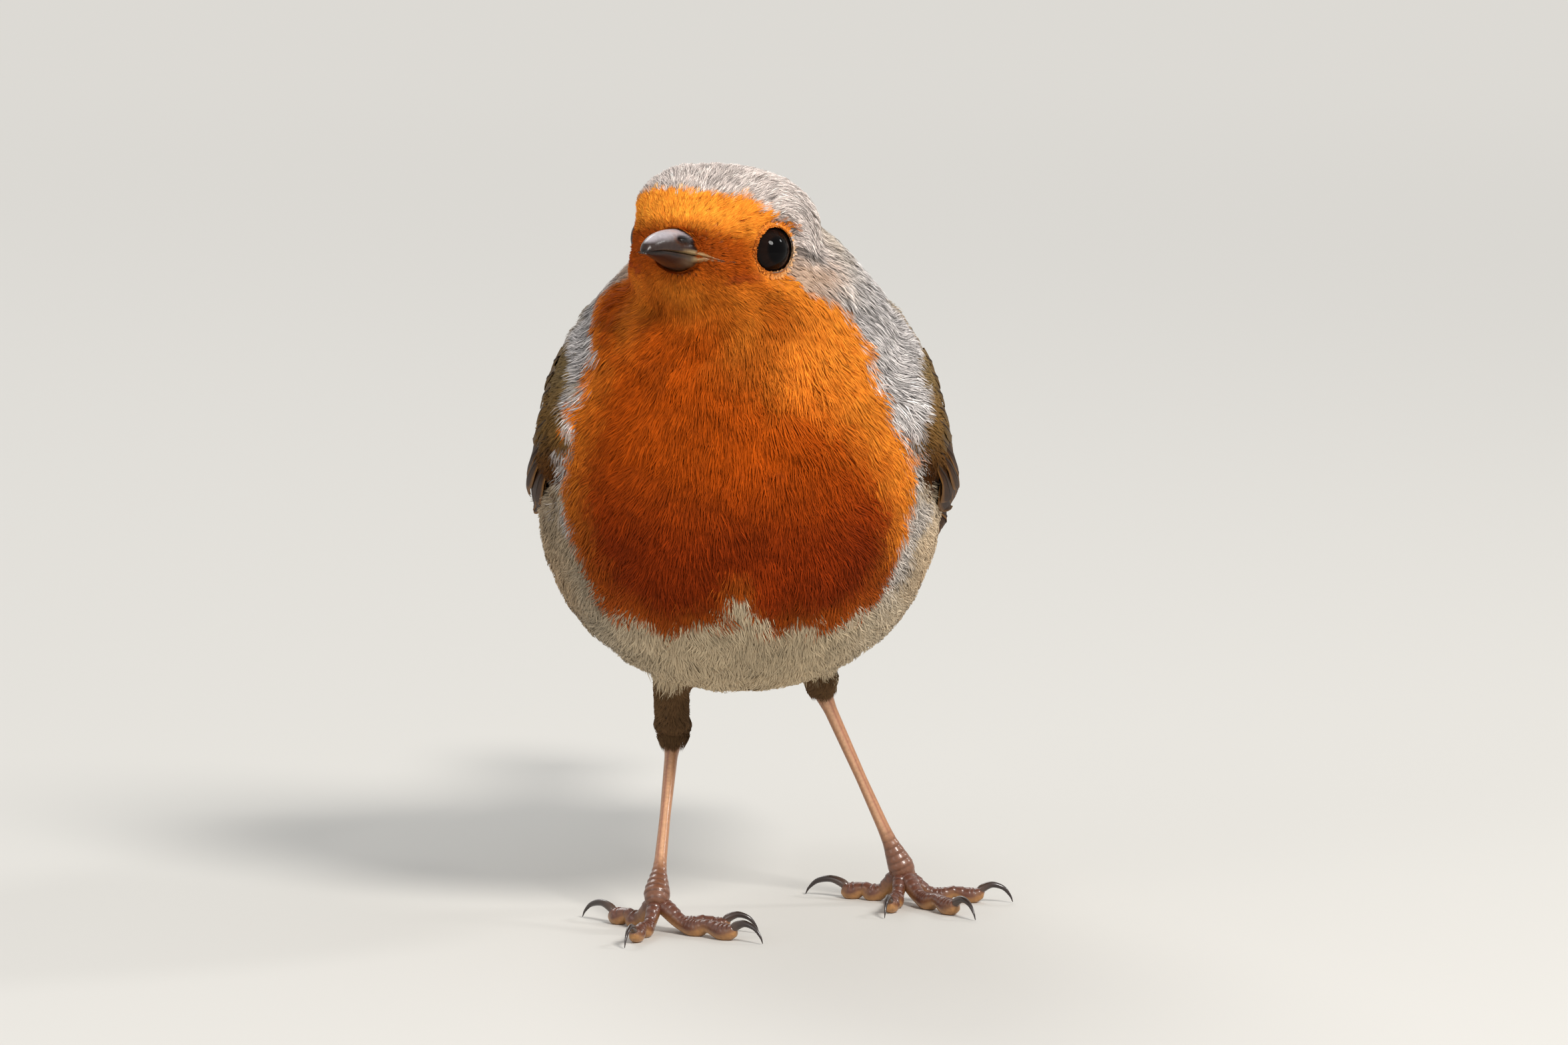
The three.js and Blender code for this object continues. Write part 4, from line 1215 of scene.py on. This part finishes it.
# The wings: each feather is laid over its wing's own outline, from its root to its tip, and those
# above lie over those below. Roots and tips are given from the side, as y and z.
FLIGHT = ["primaries", "secondaries"]
WING_ROWS = [
    # name, how many, first root and tip, last root and tip, half-width, inset, colours
    ("primaries", 9, (11, 52.6), (43.5, 46.2), (7.5, 50.6), (57.5, 40.4), 2.1, 0.55, "dark"),
    ("secondaries", 6, (13.5, 58.5), (47, 49), (13.5, 51.5), (40, 47), 2.6, 0.5, "dark"),
    ("tertials", 3, (13.5, 62), (33, 57), (13, 59.5), (45, 50.6), 2.7, 0.4, "edged"),
    ("primary_coverts", 6, (-2, 60), (18.5, 53), (-4, 56.5), (13, 51.2), 1.4, 0.2, "dark"),
    ("greater_coverts", 8, (14.5, 66), (29, 60.4), (6, 55.5), (21.5, 51.2), 1.8, 0.25, "edged"),
    ("median_coverts", 7, (9.5, 69.5), (19, 66), (0.5, 59), (11.5, 55), 1.8, 0.12, "olive"),
    ("rear_lesser_coverts", 7, (3.5, 72), (12, 69), (-4.5, 60.5), (4, 57.2), 1.7, 0.02, "olive"),
    ("front_lesser_coverts", 6, (-2.5, 72), (6, 69.8), (-9, 63), (-1.5, 59.8), 1.6, -0.06, "olive"),
    ("alula", 3, (-7.5, 62), (6, 56.5), (-8.5, 59.5), (4, 53.2), 1.4, 0.1, "dark"),
]
WING_PAINTS = {
    "dark": (EDGE_BUFF, DARK_BROWN, DARK_BROWN, TIP_GREY),
    "edged": (COVERT_OLIVE, DARK_BROWN, COVERT_OLIVE, TIP_BUFF),
    "olive": (COVERT_OLIVE, COVERT_OLIVE * 0.7, COVERT_OLIVE, COVERT_OLIVE * 1.2),
}


def laid_on_wing(wing, sign, flat):
    """Places on the outside of the wing over the given side-view places, mm."""
    spots = []
    for y, z in flat:
        hit = wing.ray_cast(Vector((sign * 60, y, z)), Vector((-sign, 0, 0)))[0]
        if hit is None:
            near = wing.find_nearest(Vector((sign * 26, y, z)))[0]
            hit = Vector((near.x - sign * 0.3, y, z))
        spots.append(hit)
    spots = np.array(spots)
    # a stiff feather bridges small steps: its distance out is smoothed along it
    shares = np.linspace(0, 1, len(spots))
    fitted = np.abs(np.polyval(np.polyfit(shares, spots[:, 0], 3), shares))
    spots[:, 0] = sign * np.minimum(fitted, np.abs(spots[:, 0]) + 0.25)
    return spots


stations = nearer_tip(12)
for side, sign in SIDES.items():
    layers = [f"wing_{side}_{layer}" for layer in ["coverts"] + FLIGHT[::-1]]
    wing = finder_on(*joined([flesh_copy(node) for node in layers]))
    for name, many, root_a, tip_a, root_b, tip_b, half_width, inset, paints in WING_ROWS:
        primary = name == "primaries"
        feathers = []
        for k in range(many):
            share = k / (many - 1)
            root = np.array(root_a) + (np.array(root_b) - root_a) * share
            tip = np.array(tip_a) + (np.array(tip_b) - tip_a) * (share**0.8 if primary else share)
            if primary and k == many - 1:
                tip = tip + (tip_a - tip) * 0.16
            tip = tip + rng.normal(0, 0.35 if "coverts" in name else 0.1, 2)
            way = unit(tip - root)
            down = np.array([way[1], -way[0]])
            if down[1] > 0:
                down = -down
            bow = 0.035 * np.linalg.norm(tip - root) * np.sin(math.pi * stations)
            spine = root + (tip - root) * stations[:, None] + down * bow[:, None]
            half = feather_outline(stations, 0.42 if primary else 0.3) * half_width
            edges = (spine + down * (half * wide)[:, None] for wide in (0, 0.75, -1.2))
            lines = [laid_on_wing(wing, sign, flat) for flat in edges]
            # roots go in under the row of coverts that laps over them
            tuck = inset + 0.085 * k + 0.4 * (1 - smooth_step(0.0, 0.35, stations))
            if primary:
                tuck = tuck + 1.6 * (1 - smooth_step(0.05, 0.3, stations))
            if name in FLIGHT + ["tertials"]:
                lap = np.interp(spine[:, 1], [51, 62], [20.5, 30.0])
                tuck = tuck + 0.8 * (1 - smooth_step(-3.0, 1.5, spine[:, 0] - lap))
            for line, more in zip(lines, (0.0, 0.05, 0.3)):
                line[:, 0] -= sign * (tuck + more)
            twist = 1 + rng.normal(0, 0.05)
            feathers.append(vane(*lines, [tone * twist for tone in WING_PAINTS[paints]]))
        nodes = [f"wing_{side}_{name}"] if name in FLIGHT else []
        slot = "flight_plumage" if nodes else "back_plumage"
        feathers_piece(f"{name}_{side}", feathers, slot, *nodes)

# ---------------------------------------------------------------- body plumage
# The small feathers of the head and body. Each tuft is the loose end of one feather: a spray of
# tapered barbs that leaves the skin, rises to the top of the coat and lies along the body. Tufts
# are grouped as the barbs of a real breast feather are, so that groups part and overlap a little.
TUFT_STEPS = 4
EYE_FRINGE = 0.8  # mm, the ring of tiny feathers round the opening of the eye
SIZE_STEP = 0.04  # mm, between the sizes of the cells that each hold the root of one tuft
THROWN = 3.0  # places thrown on the surface for each cell
GROUP_SHARE = 0.045
UNWRAP_HALF = 0.0014  # half of what a tuft takes up on the unwrap of the skin, each way
EYE_RING_BUFF = linear(236, 184, 124)


def tuft_spacing(places):
    on_head = headness(places)
    spacing = 0.36 + 0.18 * smooth_step(3, 14, bill_reach(places))
    spacing = spacing * on_head + 0.74 * (1 - on_head)
    spacing = np.where(near_eye(places)[0] < LID_OPENING + EYE_FRINGE, 0.24, spacing)
    return np.where(thighness(places) > 0.5, 0.4, spacing)


def tuft_length(places):
    on_head = headness(places)
    _, y, z = places.T
    face = 1.0 + 1.3 * smooth_step(2, 14, bill_reach(places))
    face = face + 1.4 * smooth_step(-3, -9, to_head(places)[:, 2])
    body = 5.4 + 1.6 * smooth_step(48, 36, z) - 1.2 * smooth_step(68, 82, z)
    body = body - 1.0 * smooth_step(4, 14, y) * smooth_step(50, 60, z)
    body = body * (1 - 0.3 * wingness(places))
    length = face * on_head + body * (1 - on_head)
    reach = near_eye(places)[0]
    length = length * (0.45 + 0.55 * smooth_step(2.5, 7.0, reach))
    length = np.where(reach < LID_OPENING + EYE_FRINGE, 0.62, length)
    length = length * (1 - 0.55 * smooth_step(33.0, 29.5, z) * smooth_step(1.0, 5.0, y))
    return np.where(thighness(places) > 0.5, 1.7, length)


def lie_of_coat(places, outward):
    """The way the feathers point at each place, along the surface."""
    from_bill = unit(places - from_head(np.array([[0.0, -9.8, -0.8]])))
    by_bill = headness(places) * (1 - smooth_step(10.0, 19.0, bill_reach(places)))
    fall = math.radians(12) + math.radians(85) * smooth_step(-18, 24, places[:, 1])
    down = np.stack([np.zeros(len(places)), np.sin(fall), -np.cos(fall)], axis=1)
    side = places[:, 0] - BREAST_MIDDLE
    spread = smooth_step(3, 21, np.abs(side)) * (1 - smooth_step(-4.0, 8.0, places[:, 1]))
    down[:, 0] += np.sign(side) * spread * (0.75 + 0.55 * hill(places[:, 2], 62, 12))
    wing = wingness(places)[:, None]
    down = down * (1 - wing) + np.array([0.0, 0.86, -0.5]) * wing
    field = from_bill * by_bill[:, None] + unit(down) * (1 - by_bill[:, None])
    on_left = (places @ head_turn[:, 0] > HEAD_MIDDLE @ head_turn[:, 0])[:, None]
    from_eye = unit(places - np.where(on_left, EYES["left"], EYES["right"]))
    by_eye = 1 - smooth_step(LID_OPENING + 0.7, LID_OPENING + 1.8, near_eye(places)[0])
    field = field * (1 - by_eye[:, None]) + from_eye * by_eye[:, None]
    return unit(field - (field * outward).sum(axis=1, keepdims=True) * outward)


def finder_among(places):
    """A tree that finds the nearest of some places."""
    finder = KDTree(len(places))
    for k, place in enumerate(places):
        finder.insert(place, k)
    finder.balance()
    return finder


# Roots: many places are thrown on the surface, and one is kept in each cell of the local size.
spacing = tuft_spacing(form_places[form_corners].mean(axis=1))
thrown = rng.poisson(face_area / spacing**2 * THROWN)
root_face = np.repeat(np.arange(len(thrown)), thrown)
mix = rng.dirichlet([1, 1, 1], size=len(root_face))[:, :, None]
root_place = (form_places[form_corners[root_face]] * mix).sum(axis=1)
root_unwrap = (form_unwrap[root_face] * mix).sum(axis=1)
size = np.round(spacing[root_face] / SIZE_STEP)[:, None]
cells = np.append(np.floor(root_place / (size * SIZE_STEP)), size, axis=1).astype(np.int64)
order = rng.permutation(len(cells))
chosen = np.sort(order[np.unique(cells[order], axis=0, return_index=True)[1]])
# None in the opening of an eye, inside the bill or along the lips.
places = root_place[chosen]
reach, along = near_eye(places)
x, y, z = to_head(places).T
in_bill = ((x / 2.75) ** 2 + ((z + 0.95) / 2.35) ** 2 < 1) & (y < -9.0)
lips = [from_head(line[: 3 * GAPE_ROWS // 4]) for line in gape_lines.values()]
lips = finder_among(np.concatenate(lips))
off_lips = np.array([lips.find(place)[2] for place in places]) > 0.2
chosen = chosen[((reach > LID_OPENING + 0.22) | (along <= 0)) & ~in_bill & off_lips]
# None under the rows of wing coverts, which are laid as single feathers.
_, y, z = root_place[chosen].T
wander = rng.normal(0, 0.7, len(chosen))
under_coverts = (wingness(root_place[chosen]) > 0.5) & (y + wander > -5.0 + 0.72 * (z - 63))
cover_top = np.interp(y, [-2.5, 6, 12, 19, 29, 33], [71.5, 70.5, 69, 66, 61, 57])
chosen = chosen[~(under_coverts & (z + wander < cover_top))]
root_place, root_unwrap, root_face = (part[chosen] for part in (root_place, root_unwrap, root_face))
count = len(chosen)

# Groups: every tuft leans the way of the nearest group's middle and shares its rise and its tint.
leaders = rng.choice(count, int(count * GROUP_SHARE), replace=False)
finder = finder_among(root_place[leaders])
group = np.array([finder.find(place)[1] for place in root_place])
group_turn = rng.normal(0, math.radians(8), len(leaders))[group]
group_rise = rng.uniform(0.68, 1.0, len(leaders))[group]
group_tint = rng.normal(0, 0.07, len(leaders))[group]

# The path of each tuft over the surface, in even steps, and the way out at each step.
length = tuft_length(root_place) * rng.uniform(0.82, 1.15, count)
depth = coat_depth(root_place)
turn = (group_turn + rng.normal(0, math.radians(7), count))[:, None]
path, path_out = [root_place], [face_out[root_face]]
for step in range(TUFT_STEPS):
    lie = lie_of_coat(path[-1], path_out[-1])
    lie = lie * np.cos(turn) + np.cross(path_out[-1], lie) * np.sin(turn)
    ahead = path[-1] + lie * (length / TUFT_STEPS)[:, None]
    spots, _, on_face, _ = zip(*(form_tree.find_nearest(place) for place in ahead))
    path.append(np.array(spots))
    path_out.append(face_out[list(on_face)])
path, path_out = np.stack(path, axis=1), np.stack(path_out, axis=1)
# Round the eyes the tufts follow the lid.
under = (path - path_out * depth[:, None, None]).reshape(-1, 3)
path = path + (lidded(under) - under).reshape(path.shape)

# A fringe of short feathers leans forward over the root of the bill, down to the gape, and
# another fills the fork of the chin beneath it.
ALONG_BILL = [7.4, 9.2, 11.4, 13.8, 16.4]
FRINGES = [
    # how many, from and to which turn round the bill, start, middle height, half width and rise
    (420, -8, 188, -10.6, -1.0, [3.9, 3.8, 3.2, 2.5, 1.95], [1.2, 2.2, 2.65, 2.6, 2.25]),
    (200, 204, 336, -10.4, -1.47, [3.65, 3.5, 2.9, 2.25, 1.7], [1.45, 1.8, 1.83, 1.6, 1.2]),
]
STEPS = np.linspace(0, 1, TUFT_STEPS + 1)
extras = []
for many, first_turn, last_turn, start_y, middle_z, halves, rises in FRINGES:
    turn = rng.uniform(math.radians(first_turn), math.radians(last_turn), (many, 1))
    start_y = start_y + rng.uniform(-0.9, 0.9, (many, 1)) - 0.7 * np.maximum(np.sin(turn), 0)
    long = rng.uniform(1.3, 2.1, many)
    y = start_y - long[:, None] * STEPS
    half, high = np.interp(-y, ALONG_BILL, halves), np.interp(-y, ALONG_BILL, rises)
    lifted = 0.25 + 0.3 * STEPS**2
    x, z = (half + lifted) * np.cos(turn), middle_z + (high + lifted) * np.sin(turn)
    radial = unit(np.stack([np.cos(turn) / half, 0 * y, np.sin(turn) / high], axis=-1))
    extras.append((from_head(np.stack([x, y, z], axis=-1)), radial @ head_turn.T, long, 0.3, True))

# Others close round the heel joint, where the feathering of the leg ends.
BOOT = 440  # tufts
BOOT_DROPS = [-3.5, -1.6, -0.6, 0.5, 1.4, 2.4, 3.4, 4.4]  # mm below the joint
BOOT_GIRTHS = [2.4, 2.5, 2.4, 2.1, 1.7, 1.35, 1.1, 1.0]
for side, leg in LEGS.items():
    ankle = leg["ankle"]
    shin, thigh_way = unit(leg["foot"] - ankle), unit(ankle - leg["knee"])
    turn = rng.uniform(0, 2 * math.pi, BOOT)
    to_front = round_about(*frame_on(shin), turn) @ unit(np.array([0.0, -1.0, 1.0]))
    start = rng.uniform(-3.6, 0.2 if side == "right" else -0.8, BOOT)
    start = start + 1.3 * np.maximum(to_front, 0)
    long = rng.uniform(1.8, 2.5, BOOT)
    paths, outs = [], []
    for step in STEPS:
        down = (start + long * step)[:, None]
        narrow = 0.22 * np.maximum(-to_front, 0)[:, None] * smooth_step(-3.0, -0.6, down)
        bend = smooth_step(-2.6, 2.0, down)
        flat, up = frame_on(unit(thigh_way * (1 - bend) + shin * bend))
        outs.append(round_about(flat, up, turn))
        middle = ankle + np.minimum(down, 0) * thigh_way + np.maximum(down, 0) * shin
        girth = np.interp(down, BOOT_DROPS, BOOT_GIRTHS) * (1 - narrow)
        paths.append(middle + girth * outs[-1])
    extras.append((np.stack(paths, axis=1), np.stack(outs, axis=1), long, 0.4, False))

coat = [path, path_out, root_place, root_unwrap, length, depth, group_rise, group_tint]
coat.append(np.zeros(count, dtype=bool))
for path, path_out, long, standing, by_bill in extras:
    many = len(long)
    nearest = [form_tree.find_nearest(Vector(place))[2] for place in path[:, 0]]
    more = [path, path_out, path[:, 0], form_unwrap[nearest].mean(axis=1), long]
    more += [np.full(many, standing), np.full(many, 0.9), rng.normal(0, 0.06, many)]
    more.append(np.full(many, by_bill))
    coat = [np.concatenate(pair) for pair in zip(coat, more)]
path, path_out, root_place, root_unwrap, length, depth, group_rise, group_tint, in_fringe = coat
path_side = unit(np.cross(path_out, np.gradient(path, axis=1)))

# The brows before the eyes are puffed up a little.
head_place = to_head(root_place)
bearing = np.degrees(np.arctan2(np.abs(head_place[:, 0]), -head_place[:, 1]))
puff = 0.45 * hill(bearing, 42, 13) * hill(head_place[:, 2], 1.5, 4.0)
puff = puff * headness(root_place) * smooth_step(3.0, 6.0, bill_reach(root_place))


def along_path(stations, rows, share):
    """Values of each tuft's stations at a share of its length; rows picks the tuft."""
    spot = np.clip(share, 0, 1) * TUFT_STEPS
    lower = np.minimum(spot.astype(int), TUFT_STEPS - 1)
    rest = (spot - lower)[..., None]
    return stations[rows, lower] * (1 - rest) + stations[rows, lower + 1] * rest


def spray(rows, barbs, stations, width):
    """The shape, colours and unwrap of the barbs of the tufts in rows."""
    roots = root_place[rows]
    pick = np.repeat(rows, barbs)
    many = len(pick)
    lateral = np.tile(np.linspace(-1, 1, barbs), len(rows)) + rng.normal(0, 0.07, many)
    start = rng.uniform(0.0, 0.3, many) * (1 - 0.4 * np.abs(lateral))
    end = 1 - 0.28 * lateral**2 + rng.normal(0, 0.06, many)
    own_rise = rng.uniform(0.8, 1.1, many)
    roll = rng.normal(0, 0.35, many)[:, None]
    wave = rng.normal(0, 0.03, many) * length[pick]
    # white barbs on top stand out against those sunk among the dark down, less so on the belly
    pale = np.repeat(paleness(roots), barbs)
    belly = smooth_step(47, 40, roots[:, 2])
    belly = belly * smooth_step(17, 11, np.abs(roots[:, 0] - BREAST_MIDDLE))
    crisp = 1 - 0.6 * np.repeat(belly, barbs)
    tint = 1 + group_tint[pick] + (0.13 + 0.12 * pale) * crisp * rng.normal(0, 1, many)
    off_head = 1 - np.repeat(headness(roots), barbs)
    # barbs lying low in the coat are painted darker, as shade among the dark down
    sunk_shade = 1 - smooth_step(0.0, 0.21, own_rise - 0.84 - 0.06 * off_head)
    tint = tint * (1 + pale * crisp * (0.2 - 0.06 * off_head - (0.6 + 0.26 * off_head) * sunk_shade))
    # the pale ring round the eye, brightest behind and below it
    reach, along = near_eye(roots)
    ring = (1 - smooth_step(LID_OPENING + 0.5, LID_OPENING + EYE_FRINGE, reach)) * (along > 0)
    eye = np.where(roots[:, :1] > HEAD_MIDDLE[0], EYES["left"], EYES["right"])
    _, behind, above = ((roots - eye) @ head_turn).T
    ring = ring * (0.1 + 0.9 * smooth_step(-0.5, 1.6, 0.9 * behind - 0.6 * above))
    colour = painted(markings(roots, ragged=0.22), (EYE_RING_BUFF, 0.75 * ring))
    colour = np.repeat(colour, barbs, axis=0)

    # one row for each station along the barbs
    tau = np.linspace(0, 1, stations)[:, None]
    share = start + (end - start) * tau
    spot = along_path(path, pick, share)
    out, side = (unit(along_path(way, pick, share)) for way in (path_out, path_side))
    spread = (0.26 if barbs < 10 else 0.3) * length[pick]
    offset = lateral * spread * (1 - (1 - tau) ** 1.8) + wave * np.sin(math.pi * tau)
    height = depth[pick] * (group_rise[pick] * own_rise * smooth_step(-0.15, 0.75, share) - 1.0)
    height = height - 0.12 * lateral**2 * spread * tau + puff[pick] * smooth_step(0.1, 0.9, share)
    middle = spot + side * offset[..., None] + out * height[..., None]
    half = width / 2 * (1 - 0.25 * pale) * (1 - tau**2.2) * (0.55 + 0.45 * np.minimum(1, tau * 3))
    edge = (side * np.cos(roll) + out * np.sin(roll)) * half[..., None]
    # barbs darker towards the root: partly real grey feather bases, partly painted shade in the
    # coat
    lit = smooth_step(0.0, 0.6, tau)
    shade = (0.62 + 0.46 * lit + 0.2 * (1 - off_head) * (1 - pale) * (1 - lit)) * tint
    colour = np.clip(colour * shade[..., None], 0, 1)
    u, v = root_unwrap[pick].T
    spots = np.broadcast_arrays(u + UNWRAP_HALF * lateral, v + UNWRAP_HALF * (2 * tau - 1))

    def corners_of(values, apart=0.0):
        """Rows for the corners of each barb: two at each station, and one at the tip."""
        sides = np.stack([values - apart, values + apart], axis=2).swapaxes(0, 1)
        return sides.reshape(many, 2 * stations, -1)[:, :-1].reshape(-1, values.shape[-1])

    tip = 2 * stations - 2
    starts = range(0, tip - 2, 2)
    triangles = [three for a in starts for three in ((a, a + 1, a + 3), (a, a + 3, a + 2))]
    triangles = np.array(triangles + [(tip - 2, tip - 1, tip)])
    faces = np.arange(many)[:, None, None] * (tip + 1) + triangles
    shape = corners_of(middle, edge), faces.reshape(-1, 3)
    return shape, corners_of(colour), corners_of(np.stack(spots, axis=-1))


on_head = headness(root_place) > 0.5
face, top = head_place[:, 1] < 0, head_place[:, 2] > 0
left = root_place[:, 0] > BREAST_MIDDLE
thigh = thighness(root_place) > 0.5
wing_arm = (wingness(root_place) > 0.5) & ~on_head & ~thigh
body = ~on_head & ~thigh & ~wing_arm
front = body & (root_place[:, 1] < 6)
rear = body & ~front
low, high = root_place[:, 2] < 44, root_place[:, 2] > 60
PLUMAGE = {
    # where it grows, how many barbs a tuft has, the stations along each barb, their width, mm
    "forehead": (on_head & face & top, 9, 3, 0.13),
    "crown": (on_head & ~face & top, 7, 4, 0.17),
    "bill_fringe": (in_fringe, 7, 3, 0.1),
    "chin": (on_head & face & ~top, 8, 3, 0.14),
    "cheeks": (on_head & ~face & ~top, 9, 3, 0.14),
    "throat_right": (front & ~left & high, 17, 4, 0.19),
    "throat_left": (front & left & high, 17, 4, 0.19),
    "breast_right": (front & ~left & ~low & ~high, 17, 4, 0.19),
    "breast_left": (front & left & ~low & ~high, 17, 4, 0.19),
    "belly": (front & low, 13, 4, 0.22),
    "mantle_right": (rear & ~left & ~low, 12, 3, 0.25),
    "mantle_left": (rear & left & ~low, 12, 3, 0.25),
    "vent": (rear & low, 11, 3, 0.26),
    "wing_arms": (wing_arm, 10, 3, 0.25),
    "thighs": (thigh, 6, 3, 0.14),
}
feather_finish = surface_finish("feather_barbs", 0.75, 0.0015, 0.00003, shift=0.1, ior=1.16)
for name, (members, barbs, stations, width) in PLUMAGE.items():
    rows = np.flatnonzero(members & (in_fringe == (name == "bill_fringe")))
    shape, colours, unwrap = spray(rows, barbs, stations, width)
    slot = "back_plumage" if name.startswith(("mantle", "wing")) else "breast_plumage"
    piece(f"plumage_{name}", shape, colours, feather_finish, slot, OFBake=unwrap)

low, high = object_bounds()
